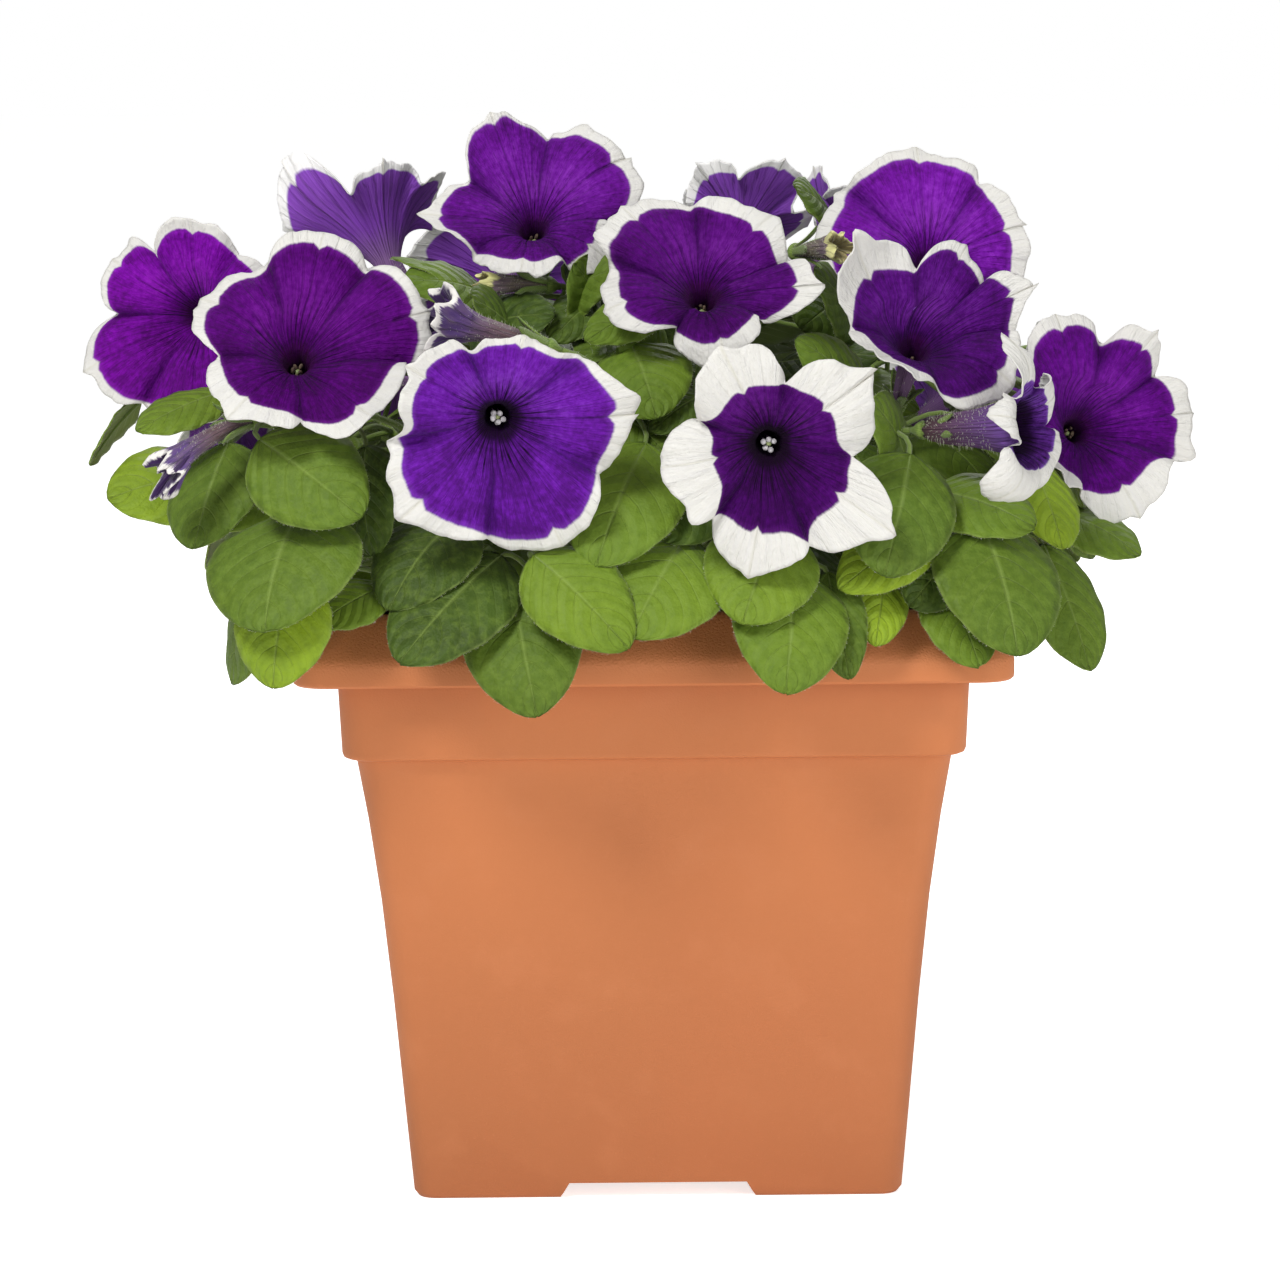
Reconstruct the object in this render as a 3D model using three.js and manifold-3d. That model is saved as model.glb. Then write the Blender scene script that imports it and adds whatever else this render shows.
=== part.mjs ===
// Potted petunia: a square flared plastic pot, its soil, leafy stems, five-lobed blooms and folded buds.
// Millimetres, +Z up, -Y is the front. The origin is on the ground under the middle of the plant.
import * as THREE from "three";
import { mergeVertices } from "three/addons/utils/BufferGeometryUtils.js";
import Module from "manifold-3d";

const wasm = await Module();
wasm.setup();

// Driving sizes of the pot.
const CORNER_SEGMENTS = 2;
const FOOT_HEIGHT = 5.7;
const NOTCH_TOP_WIDTH = 66;
const NOTCH_GROUND_WIDTH = 74;
const DRAIN_RADIUS = 5;
const DRAIN_OFFSET = 45;
const GAP = 0.35;
// Rings of the pot wall from the ground up: half width, height, radius of the upright corners.
const BODY_RINGS = [
  [89.6, 0, 7],
  [91.2, 2.2, 8],
  [94.2, 37, 9],
  [97.4, 76, 9.5],
  [101.1, 114, 10],
  [105.1, 145, 10.5],
  [109, 169, 11],
];
const COLLAR_RINGS = [
  [112, 169, 11],
  [113.6, 171.2, 11.5],
  [115, 198, 12],
];
const LIP_INSIDE_RINGS = [
  [115.2, 208, 12],
  [117.5, 212.5, 12],
  [122, 209, 12],
  [126.9, 203.5, 12],
  [127.2, 198.4, 12],
];
const LIP_RINGS = [
  [128.6, 198.2, 12],
  [130, 200, 12],
  [130, 206, 12],
  [128.2, 209.5, 12],
  [124.6, 213.5, 12],
  [120.5, 218.5, 12],
  [117.5, 221.8, 12],
  [115, 223.3, 11.5],
  [113.2, 222.6, 11],
];
const INNER_RINGS = [
  [112, 219, 10],
  [111.9, 205, 9.5],
  [110.8, 173.5, 9],
  [106.2, 167.5, 8.5],
  [102.1, 145, 8],
  [98.1, 114, 7],
  [94.4, 76, 6.5],
  [91.2, 37, 6],
  [88.6, 10.5, 5],
  [87, 9, 4],
];

// Driving sizes of the soil and of the plant.
const SOIL_TOP = 203;
const SOIL_BUMP = 2.2;
const STEM_SUNK = 12;
const STEM_UPRIGHT = 5;
// How a stem bends: its lean at the ground, its straight rise, and its straight run into the calyx.
const STEM_LEAN = 0.12;
const STEM_LIFT = 0.45;
const CALYX_LIFT = 0.34;
const STEM_BASE_RADIUS = 2;
const BRANCH_RADIUS = 1.4;
const PEDICEL_RADIUS = 1.15;
const STEM_SIDES = 5;
const LOW_STEM_SIDES = 4;
const STEM_STEPS = 5;
const BRANCH_STEPS = 4;
const HOLE_CLEARANCE = 0.4;
const THROAT_RADIUS = 4.6;
const THROAT_DEPTH = 6;
const LIMB_THICKNESS = 1.3;
const TUBE_LENGTH = 34;
// Radius of a corolla's tube, and how far behind its throat.
const TUBE_RINGS = [
  [6.4, 4],
  [4.6, 14],
  [3.1, 24],
  [2, 31.5],
];
// A folded bud: share of its length, radius, depth of the pleats and their turn in radians.
const BUD_TUBE = [
  [0.06, 2, 0, 0],
  [0.34, 3.6, 0, 0],
  [0.62, 4.2, 0, 0.2],
];
const BUD_NECK = [0.8, 7.2, 0.5, 0.5];
const BUD_MOUTH = [0.93, 1, 0.45, 0.9];
const SEAT_GAP = 0.35;
// Radius and height of a calyx's corners, measured from the foot of the corolla that sits in it.
const CALYX_INSIDE = [2.5, 0.6];
const CALYX_TIP = [8, 14];
const CALYX_VALLEY = [2.9, -0.2];
const CALYX_OUTSIDE = [3.7, 0.2];
const CALYX_FOOT = 4.5;
const LEAF_THICKNESS = 0.8;
const LEAF_SAG = 0.07;
const LEAF_STATIONS = [0.2, 0.5, 0.8];
const STALK_RADIUS = 1.1;
const STALK_DROP = 9;
const BEHIND = 3;
const SHARPEST_TURN = -0.3;
const CLEAR = 0.8;
const FINEST = 0.06;

const GREEN = { color: 0x5f8f2c, roughness: 0.62, metalness: 0 };
const VIOLET = { color: 0x4a1588, roughness: 0.7, metalness: 0 };
const MAUVE = { color: 0x5d4a63, roughness: 0.75, metalness: 0 };
const TERRACOTTA = { color: 0xc8794a, roughness: 0.55, metalness: 0 };
const DARK_SOIL = { color: 0x2e2018, roughness: 0.95, metalness: 0 };

const V = (x, y, z) => new THREE.Vector3(x, y, z);
const UP = V(0, 0, 1);

// Park and Miller's generator: the same seed always gives the same plant.
function drawer(seed) {
  let state = seed;
  return () => {
    state = (state * 16807) % 2147483647;
    return state / 2147483647;
  };
}

// Compass: 0 degrees faces the front (-Y) and 90 degrees faces the right (+X).
function facing(azimuth, elevation) {
  const a = THREE.MathUtils.degToRad(azimuth);
  const e = THREE.MathUtils.degToRad(elevation);
  return V(Math.sin(a) * Math.cos(e), -Math.cos(a) * Math.cos(e), Math.sin(e));
}

// A closed mesh as a solid, with its faces pointing out.
function solidOf(points, triangles) {
  const vertProperties = new Float32Array(points.flatMap((p) => [p.x, p.y, p.z]));
  const build = (list) => new wasm.Manifold(new wasm.Mesh({
    numProp: 3,
    vertProperties,
    triVerts: new Uint32Array(list.flat()),
  }));
  const made = build(triangles);
  return made.volume() > 0 ? made : build(triangles.map(([a, b, c]) => [a, c, b]));
}

// Triangles between two closed rings of points, where one ring has a whole multiple of the other's points.
function stitch(first, second) {
  if (first.length > second.length) {
    return stitch(second, first).map(([a, b, c]) => [a, c, b]);
  }
  const share = second.length / first.length;
  const turn = Math.ceil(share / 2);
  const triangles = [];
  first.forEach((near, i) => {
    const next = first[(i + 1) % first.length];
    const far = (j) => second[(i * share + j) % second.length];
    for (let j = 0; j < share; j++) {
      triangles.push([j < turn ? near : next, far(j), far(j + 1)]);
    }
    triangles.push([near, far(turn), next]);
  });
  return triangles;
}

// A closed solid through rings of points, with a point at each end.
function shell(startPole, rings, endPole) {
  const points = [startPole];
  const indices = rings.map((ring) => ring.map((point) => points.push(point) - 1));
  const endIndex = points.push(endPole) - 1;
  const triangles = [];
  const first = indices[0];
  const last = indices[indices.length - 1];
  first.forEach((a, i) => triangles.push([0, a, first[(i + 1) % first.length]]));
  for (let i = 1; i < indices.length; i++) {
    triangles.push(...stitch(indices[i - 1], indices[i]));
  }
  last.forEach((a, i) => triangles.push([endIndex, last[(i + 1) % last.length], a]));
  return solidOf(points, triangles);
}

// A ring of the square pot: a square with rounded corners.
function squareRing([half, height, corner]) {
  const ring = [];
  for (let quarter = 0; quarter < 4; quarter++) {
    for (let i = 0; i <= CORNER_SEGMENTS; i++) {
      const angle = (quarter + i / CORNER_SEGMENTS) * Math.PI / 2;
      const sideX = quarter === 0 || quarter === 3 ? 1 : -1;
      const sideY = quarter < 2 ? 1 : -1;
      const centre = V(sideX, sideY, 0).multiplyScalar(half - corner).setZ(height);
      ring.push(centre.add(V(Math.cos(angle), Math.sin(angle), 0).multiplyScalar(corner)));
    }
  }
  return ring;
}

// The rings of a tapered stem through a row of points. The first corner of the first ring points to side.
function stemRings(path, radii, sides, firstSide) {
  const rings = [];
  let side = firstSide;
  path.forEach((point, i) => {
    const before = path[Math.max(i - 1, 0)];
    const after = path[Math.min(i + 1, path.length - 1)];
    const along = after.clone().sub(before).normalize();
    side = side.clone().addScaledVector(along, -side.dot(along)).normalize();
    const across = along.clone().cross(side);
    const ring = [];
    for (let k = 0; k < sides; k++) {
      const angle = 2 * Math.PI * k / sides;
      ring.push(point.clone()
        .addScaledVector(side, radii[i] * Math.cos(angle))
        .addScaledVector(across, radii[i] * Math.sin(angle)));
    }
    rings.push(ring);
  });
  return rings;
}

function tube(path, radii, sides) {
  return shell(path[0], stemRings(path, radii, sides, V(0.31, 0.87, 0.2)), path[path.length - 1]);
}

function curve(from, bend, neck, end, steps) {
  return new THREE.CubicBezierCurve3(from, bend, neck, end).getPoints(steps);
}

// Pot

function potSolid() {
  const rings = [...BODY_RINGS, ...COLLAR_RINGS, ...LIP_INSIDE_RINGS, ...LIP_RINGS, ...INNER_RINGS];
  const floor = INNER_RINGS[INNER_RINGS.length - 1][1];
  let pot = shell(V(0, 0, 0), rings.map(squareRing), V(0, 0, floor));
  const notch = new THREE.Shape([
    new THREE.Vector2(-NOTCH_GROUND_WIDTH / 2, -0.01),
    new THREE.Vector2(NOTCH_GROUND_WIDTH / 2, -0.01),
    new THREE.Vector2(NOTCH_TOP_WIDTH / 2, FOOT_HEIGHT),
    new THREE.Vector2(-NOTCH_TOP_WIDTH / 2, FOOT_HEIGHT),
  ]);
  const reach = BODY_RINGS[1][0] + 10;
  const channel = new THREE.ExtrudeGeometry(notch, { depth: 2 * reach, bevelEnabled: false });
  channel.translate(0, 0, -reach).rotateX(Math.PI / 2);
  pot = pot.subtract(fromGeometry(channel));
  pot = pot.subtract(fromGeometry(channel.clone().rotateZ(Math.PI / 2)));
  for (const [x, y] of [[0, 0], [1, 0], [-1, 0], [0, 1], [0, -1]]) {
    const drain = new THREE.CylinderGeometry(DRAIN_RADIUS, DRAIN_RADIUS, 8, 8);
    drain.rotateX(Math.PI / 2).translate(x * DRAIN_OFFSET, y * DRAIN_OFFSET, floor - 1);
    pot = pot.subtract(fromGeometry(drain));
  }
  return pot;
}

// A solid from one of three.js's closed geometries, its shared corners merged.
function fromGeometry(geometry) {
  const bare = new THREE.BufferGeometry();
  bare.setAttribute("position", geometry.getAttribute("position"));
  bare.setIndex(geometry.index);
  const merged = mergeVertices(bare, 1e-3);
  const position = merged.getAttribute("position");
  const corner = (_, i) => V(0, 0, 0).fromBufferAttribute(position, i);
  const points = Array.from({ length: position.count }, corner);
  const order = [...merged.index.array];
  return solidOf(points, order.filter((_, i) => i % 3 === 0).map((_, i) => order.slice(3 * i, 3 * i + 3)));
}

// Soil: it fills the pot just clear of the walls, with a lumpy top and a plain hole for each stem.

function soilSolid(roots) {
  const walls = INNER_RINGS.slice(1).reverse();
  const rings = walls.map(([half, height, corner], i) => (
    [half - GAP, i === 0 ? height + GAP : height, Math.max(corner - GAP, 1)]
  ));
  const rim = rings.pop();
  rings.push([rim[0], SOIL_TOP - 3, rim[2]]);
  const shaped = rings.map(squareRing);
  for (const share of [0.97, 0.74, 0.48, 0.24]) {
    shaped.push(squareRing([rim[0] * share, SOIL_TOP, rim[2] * share]).map((point) => {
      const bump = Math.sin(point.x * 0.11 + 1) * Math.cos(point.y * 0.13) * SOIL_BUMP;
      return V(point.x, point.y, SOIL_TOP + bump * (share > 0.9 ? 0.3 : 1));
    }));
  }
  let soil = shell(V(0, 0, rings[0][1]), shaped, V(0, 0, SOIL_TOP + 1));
  const low = SOIL_TOP - STEM_SUNK - GAP;
  const reach = (STEM_BASE_RADIUS + HOLE_CLEARANCE) * Math.SQRT2;
  for (const root of roots) {
    const hole = new THREE.CylinderGeometry(reach, reach, 30, 4);
    hole.rotateX(Math.PI / 2).translate(root.x, root.y, low + 15);
    soil = soil.subtract(fromGeometry(hole));
  }
  return soil;
}

// Blooms

// The frame of a bloom: its throat, the way it faces, and two directions across it.
function bloomFrame(bloom) {
  const forward = facing(bloom.az, bloom.el);
  const across = UP.clone().cross(forward).normalize();
  return { centre: V(...bloom.at), forward, across, upward: forward.clone().cross(across) };
}

function placed(frame, radius, angle, height) {
  return frame.centre.clone()
    .addScaledVector(frame.across, radius * Math.cos(angle))
    .addScaledVector(frame.upward, radius * Math.sin(angle))
    .addScaledVector(frame.forward, height);
}

// A point of the limb. angle runs round the bloom and share goes from the throat, 0, to the edge, 1.
function limbPoint(bloom, frame, angle, share) {
  const fifth = 2 * Math.PI / 5;
  const turns = (angle - THREE.MathUtils.degToRad(bloom.roll)) / fifth;
  const side = 2 * (turns - Math.round(turns));
  let bend = 0;
  for (let lobe = 0; lobe < 5; lobe++) {
    const away = (turns - lobe) * fifth;
    const wrapped = Math.atan2(Math.sin(away), Math.cos(away));
    const weight = Math.abs(wrapped) < fifth ? Math.cos(wrapped * 1.25) ** 2 : 0;
    bend += bloom.bends[lobe] * weight;
  }
  const tip = Math.max(0, 1 - 4 * Math.abs(side));
  const [skew, skewTo] = bloom.skew;
  const lean = 1 + skew * Math.cos(angle - THREE.MathUtils.degToRad(skewTo));
  const reach = lean * (1 - bloom.notch * Math.abs(side) ** 3 + 0.035 * tip);
  const waves = 0.6 * Math.sin(3 * angle + bloom.phase) + 0.5 * Math.sin(7 * angle + 2 * bloom.phase);
  const outward = share ** 2;
  const pulledIn = 0.35 * Math.abs(bend) * outward;
  const radius = THROAT_RADIUS + (bloom.radius * reach - THROAT_RADIUS) * share - pulledIn;
  const height = bloom.cup * (1 - (1 - share) ** 2.4) + (bend + bloom.ruffle * waves) * outward;
  return placed(frame, radius, angle, height);
}

function corollaSolid(bloom) {
  const frame = bloomFrame(bloom);
  const start = THREE.MathUtils.degToRad(bloom.roll);
  const angles = (count) => Array.from({ length: count }, (_, i) => start + 2 * Math.PI * i / count);
  const ring = (radius, depth) => angles(5).map((angle) => placed(frame, radius, angle, -depth));
  const middle = angles(15).map((angle) => limbPoint(bloom, frame, angle, 0.5));
  return shell(
    placed(frame, 0, 0, -THROAT_DEPTH),
    [
      ring(THROAT_RADIUS, 0.5),
      middle,
      angles(30).map((angle) => limbPoint(bloom, frame, angle, 1)),
      middle.map((point) => point.clone().addScaledVector(frame.forward, -LIMB_THICKNESS)),
      ...TUBE_RINGS.map(([radius, depth]) => ring(radius * bloom.girth, depth)),
    ],
    placed(frame, 0, 0, -TUBE_LENGTH),
  );
}

// A folded bud or a withered corolla: a narrow tube that ends in a pleated, twisted head.
function budSolid(bud) {
  const frame = bloomFrame(bud);
  const ring = (count, [share, radius, fold, turn], girth) => Array.from({ length: count }, (_, i) => {
    const size = radius * girth * (i % 2 ? 1 - fold : 1);
    const point = placed(frame, size, 2 * Math.PI * i / count + turn, bud.length * share);
    return point.addScaledVector(UP, -bud.droop * share ** 2);
  });
  return shell(
    placed(frame, 0, 0, 0),
    [
      ...BUD_TUBE.map((sizes) => ring(5, sizes, bud.girth)),
      ring(10, BUD_NECK, bud.girth),
      ring(10, BUD_MOUTH, bud.girth * bud.head),
    ],
    placed(frame, 0, 0, bud.length).addScaledVector(UP, -bud.droop),
  );
}

// The rings of a calyx, from the floor inside its cup over the tips of its five lobes and down its outside.
// They run clockwise seen from the bloom, as the rings of the stem below them do.
function calyxRings(base, frame, roll) {
  const around = (corners) => Array.from({ length: 5 * corners.length }, (_, i) => {
    const [radius, height] = corners[i % corners.length];
    const angle = THREE.MathUtils.degToRad(roll + 36) - 2 * Math.PI * i / (5 * corners.length);
    return placed({ ...frame, centre: base }, radius, angle, height);
  });
  return [around([CALYX_INSIDE]), around([CALYX_TIP, CALYX_VALLEY]), around([CALYX_OUTSIDE])];
}

// Leaves

// The frame of a leaf: its base, the way to its tip, the way its face looks, and the way across.
function leafFrame(leaf) {
  const base = V(...leaf.base);
  const along = V(...leaf.tip).sub(base);
  const length = along.length();
  along.normalize();
  const middle = V(...leaf.base).add(V(...leaf.tip)).multiplyScalar(0.5);
  const outward = V(middle.x * 0.5, middle.y, 0).normalize();
  const face = outward.multiplyScalar(0.75).addScaledVector(UP, 0.65);
  face.addScaledVector(along, -face.dot(along)).normalize();
  face.applyAxisAngle(along, THREE.MathUtils.degToRad(leaf.roll));
  return { base, along, face, across: face.clone().cross(along), length };
}

// Half the width of the blade at a share of its length, and a point of the blade.
function bladeWidth(share) {
  return 2.246 * share ** 0.55 * (1 - share) ** 0.62;
}

function bladePoint(leaf, frame, share, side) {
  const half = leaf.width / 2 * bladeWidth(share);
  const arch = leaf.arch * frame.length * 4 * share * (1 - share);
  const margin = LEAF_SAG * leaf.width * side ** 2 * bladeWidth(share);
  const wave = leaf.wave * side ** 2 * Math.sin(7 * share + leaf.phase + side);
  return frame.base.clone()
    .addScaledVector(frame.along, frame.length * share)
    .addScaledVector(frame.across, half * side)
    .addScaledVector(frame.face, arch - margin + wave);
}

// A leaf is thin at the edge and full at the midrib, on a slim stalk that starts inside the stem.
function leafSolid(leaf, from) {
  const frame = leafFrame(leaf);
  const way = frame.base.clone().sub(from).normalize();
  const stalk = (centre, radius, heading) => {
    const turn = new THREE.Quaternion().setFromUnitVectors(frame.along, heading);
    const corner = (side, rise) => {
      const step = V(0, 0, 0).addScaledVector(frame.across, side).addScaledVector(frame.face, rise);
      return step.applyQuaternion(turn).add(centre);
    };
    return [corner(-radius, -radius / 2), corner(0, radius), corner(radius, -radius / 2)];
  };
  const blade = LEAF_STATIONS.map((share) => [
    bladePoint(leaf, frame, share, -1),
    bladePoint(leaf, frame, share, 0).addScaledVector(frame.face, LEAF_THICKNESS),
    bladePoint(leaf, frame, share, 1),
  ]);
  const rings = [
    stalk(from, 0.8 * STALK_RADIUS, way),
    stalk(frame.base, STALK_RADIUS, way.clone().add(frame.along).normalize()),
    ...blade,
  ];
  return shell(from, rings, bladePoint(leaf, frame, 1, 0));
}

// The room that a blade needs, a little more than it fills.
function bladeRoom(leaf) {
  const frame = leafFrame(leaf);
  const room = (centre, half, thick) => [[-half, frame.across], [thick, frame.face], [half, frame.across],
    [-thick, frame.face]].map(([step, way]) => centre.clone().addScaledVector(way, step));
  const rings = LEAF_STATIONS.map((share) => {
    const [left, above, right, below] = room(bladePoint(leaf, frame, share, 0), 0, LEAF_THICKNESS + CLEAR);
    left.copy(bladePoint(leaf, frame, share, -1)).addScaledVector(frame.across, -CLEAR);
    right.copy(bladePoint(leaf, frame, share, 1)).addScaledVector(frame.across, CLEAR);
    return [left, above, right, below];
  });
  const base = room(frame.base, STALK_RADIUS + CLEAR, STALK_RADIUS + CLEAR);
  const tip = bladePoint(leaf, frame, 1, 0).addScaledVector(frame.along, CLEAR);
  return shell(frame.base.clone().addScaledVector(frame.along, -CLEAR), [base, ...rings], tip);
}

function stalkRoom(leaf, from) {
  const radius = STALK_RADIUS + CLEAR;
  return tube([from, V(...leaf.base)], [radius, radius], 4);
}

// Shoots: each is one leafy stem with the stalks and calyces of its own blooms and buds.

const BLOOMS = {
  bloom_left: {
    at: [-166, -62, 328], az: -20, el: 8, roll: 96, radius: 38, cup: 13,
    bends: [3, -3, -2, 2, -2], notch: 0.15, ruffle: 1.6, phase: 0.4, skew: [0.13, 200],
  },
  bloom_left_front: {
    at: [-126, -122, 315], az: 2, el: 32, roll: 92, radius: 41, cup: 13,
    bends: [0, -4, 1, -1, 2], notch: 0.1, ruffle: 1.3, phase: 1.9, skew: [0.16, 35],
  },
  bloom_back_left: {
    at: [-100, 0, 344], az: -150, el: 52, roll: 80, radius: 35, cup: 24,
    bends: [0, 3, -2, 2, 12], notch: 0.14, ruffle: 1.8, phase: 2.7,
  },
  bloom_top: {
    at: [-43, -55, 358], az: -4, el: 38, roll: 100, radius: 41, cup: 12,
    bends: [4, -3, 3, -4, -3], notch: 0.17, ruffle: 2.2, phase: 0.9, skew: [0.05, 0],
  },
  bloom_centre_front: {
    at: [-54, -148, 297], az: 6, el: -6, roll: 84, radius: 39, cup: 12,
    bends: [-2, 1, -1, 1, 0], notch: 0.1, ruffle: 1.2, phase: 3.3, skew: [0.2, -62],
  },
  bloom_centre_right: {
    at: [19, -95, 334], az: 2, el: 38, roll: 88, radius: 38, cup: 12,
    bends: [1, 3, -3, -5, 1], notch: 0.17, ruffle: 1.9, phase: 4.4, skew: [0.04, 0],
  },
  bloom_star: {
    at: [41, -150, 287], az: 4, el: -4, roll: 106, radius: 39, cup: 10,
    bends: [-1, -2, 0, 1, -2], notch: 0.27, ruffle: 1.1, phase: 5.2, skew: [0.14, -70],
  },
  bloom_top_right: {
    at: [104, -28, 342], az: 4, el: 28, roll: 90, radius: 40, cup: 12,
    bends: [2, 2, -1, -2, 1], notch: 0.1, ruffle: 1.7, phase: 0.2, skew: [0.12, 95],
  },
  bloom_right: {
    at: [95, -98, 315], az: 10, el: 40, roll: 80, radius: 37, cup: 15,
    bends: [3, 6, 3, -5, -2], notch: 0.15, ruffle: 1.6, phase: 2.2, skew: [0.1, 20],
  },
  bloom_far_right: {
    at: [159, -46, 281], az: 22, el: 14, roll: 94, radius: 40, cup: 12,
    bends: [0, -3, 5, 3, -2], notch: 0.15, ruffle: 1.8, phase: 1.2, skew: [0.17, 35],
  },
  bloom_back_middle: {
    at: [36, 36, 352], az: 160, el: 48, roll: 60, radius: 27, cup: 12,
    bends: [-3, 3, 2, -2, 3], notch: 0.2, ruffle: 1.6, phase: 3.9,
  },
  bloom_back_right: {
    at: [73, 48, 346], az: 120, el: 44, roll: 70, radius: 26, cup: 12,
    bends: [3, -2, 4, 2, -3], notch: 0.18, ruffle: 1.6, phase: 5.7,
  },
  bloom_half_open: {
    at: [126, -129, 290], az: 58, el: 4, roll: 90, radius: 20, cup: 13,
    bends: [-6, -3, 2, -4, -6], notch: 0.3, ruffle: 1.2, phase: 4.9, girth: 1.35,
  },
  bloom_side_right: {
    at: [153, 42, 270], az: 100, el: 12, roll: 90, radius: 40, cup: 12,
    bends: [2, -2, 3, -2, 1], notch: 0.13, ruffle: 1.7, phase: 2.5,
  },
  bloom_rear_1: {
    at: [118, 104, 276], az: 134, el: 14, roll: 98, radius: 41, cup: 12,
    bends: [-2, 3, 1, -3, 2], notch: 0.12, ruffle: 1.7, phase: 0.7,
  },
  bloom_rear_2: {
    at: [52, 146, 294], az: 164, el: 8, roll: 86, radius: 42, cup: 12,
    bends: [3, 1, -2, 2, -2], notch: 0.12, ruffle: 1.5, phase: 3.1,
  },
  bloom_rear_3: {
    at: [-26, 150, 268], az: 186, el: 4, roll: 92, radius: 41, cup: 12,
    bends: [-1, 3, -3, 1, 2], notch: 0.15, ruffle: 1.5, phase: 1.6,
  },
  bloom_rear_4: {
    at: [-104, 126, 292], az: 216, el: 12, roll: 84, radius: 41, cup: 13,
    bends: [2, -3, 2, 3, -1], notch: 0.13, ruffle: 1.7, phase: 4.1,
  },
  bloom_side_left: {
    at: [-156, 48, 288], az: 252, el: 12, roll: 90, radius: 40, cup: 12,
    bends: [3, -2, -2, 2, 3], notch: 0.14, ruffle: 1.6, phase: 5.5,
  },
  bloom_rear_5: {
    at: [14, 88, 320], az: 172, el: 30, roll: 94, radius: 39, cup: 12,
    bends: [-2, 4, 1, -2, 3], notch: 0.13, ruffle: 1.8, phase: 0.1,
  },
  bloom_rear_6: {
    at: [-56, 74, 330], az: 200, el: 30, roll: 88, radius: 39, cup: 12,
    bends: [3, -1, 3, -3, 1], notch: 0.14, ruffle: 1.8, phase: 2.9,
  },
};

const BUDS = {
  bud_front_folded: { at: [-36, -116, 319], az: -78, el: 16, length: 44, girth: 1.15, head: 6.5, droop: 0 },
  bud_left_hanging: { at: [-142, -118, 294], az: -62, el: -6, length: 36, girth: 0.9, head: 7.5, droop: 15 },
  bud_top_withered: { at: [-37, -64, 338], az: -78, el: 6, length: 26, girth: 0.85, head: 5, droop: 2 },
  bud_right_withered: { at: [54, -56, 349], az: 40, el: 8, length: 26, girth: 0.9, head: 5.5, droop: 1 },
  bud_rear_folded: { at: [-64, 132, 318], az: 190, el: 30, length: 38, girth: 1, head: 5, droop: 0 },
  bud_rear_hanging: { at: [146, 77, 301], az: 118, el: -10, length: 34, girth: 0.9, head: 7, droop: 5 },
};

// Each shoot: where it stands in the soil, and what its stem ends in. Later ends grow from the stem's side.
const SHOOTS = {
  shoot_left: { root: [-52, -18], ends: ["bloom_left"] },
  shoot_left_front: { root: [-44, -38], ends: ["bloom_left_front", "bud_left_hanging"] },
  shoot_back_left: { root: [-34, 2], ends: ["bloom_back_left"] },
  shoot_top: { root: [-14, -16], ends: ["bloom_top", "bud_top_withered"] },
  shoot_centre_front: { root: [-20, -52], ends: ["bloom_centre_front", "bud_front_folded"] },
  shoot_centre_right: { root: [6, -32], ends: ["bloom_centre_right"] },
  shoot_star: { root: [14, -54], ends: ["bloom_star"] },
  shoot_top_right: { root: [32, -8], ends: ["bloom_top_right"] },
  shoot_right: { root: [30, -34], ends: ["bloom_right", "bloom_half_open"] },
  shoot_far_right: { root: [52, -14], ends: ["bloom_far_right"] },
  shoot_back_middle: { root: [12, 8], ends: ["bloom_back_middle", "bloom_back_right", "bud_right_withered"] },
  shoot_side_right: { root: [50, 12], ends: ["bloom_side_right", "bud_rear_hanging"] },
  shoot_rear_1: { root: [38, 34], ends: ["bloom_rear_1"] },
  shoot_rear_2: { root: [18, 48], ends: ["bloom_rear_2"] },
  shoot_rear_3: { root: [-8, 52], ends: ["bloom_rear_3"] },
  shoot_rear_4: { root: [-32, 40], ends: ["bloom_rear_4", "bud_rear_folded"] },
  shoot_side_left: { root: [-52, 16], ends: ["bloom_side_left"] },
  shoot_rear_5: { root: [4, 28], ends: ["bloom_rear_5", "bloom_rear_6"] },
};

// Low shoots lean out over the rim: compass direction of each, and how far out and how high its end is.
const LOW_SHOOTS = [-44, -16, 16, 46, 78, 112, 148, 180, 212, 246, 282];
const LOW_ROOT = 76;
const LOW_REACH = 132;
const LOW_TOP = 236;

// The half width of the square rim in a compass direction.
function rimReach(azimuth) {
  const a = THREE.MathUtils.degToRad(azimuth);
  return Math.min(LIP_RINGS[1][0] / Math.max(Math.abs(Math.sin(a)), Math.abs(Math.cos(a))), 172);
}

function baseOf(name) {
  if (name in BUDS) {
    return { base: V(...BUDS[name].at), frame: bloomFrame(BUDS[name]), roll: 0 };
  }
  const bloom = BLOOMS[name];
  const frame = bloomFrame(bloom);
  return { base: frame.centre.clone().addScaledVector(frame.forward, -TUBE_LENGTH), frame, roll: bloom.roll };
}

function tapered(count, from, to) {
  return Array.from({ length: count }, (_, i) => from + (to - from) * i / (count - 1));
}

// The axis of a shoot's stem: straight up out of the soil, then in one curve to its first calyx.
function mainPath(shoot) {
  const { base, frame } = baseOf(shoot.ends[0]);
  const low = V(shoot.root[0], shoot.root[1], SOIL_TOP - STEM_SUNK);
  const ground = low.clone().setZ(SOIL_TOP + STEM_UPRIGHT);
  const end = base.clone().addScaledVector(frame.forward, -CALYX_FOOT);
  const rise = end.z - ground.z;
  const bend = ground.clone().lerp(end, STEM_LEAN).setZ(ground.z + STEM_LIFT * rise);
  const neck = end.clone().addScaledVector(frame.forward, -CALYX_LIFT * rise);
  return [low, ...curve(ground, bend, neck, end, STEM_STEPS)];
}

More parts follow.
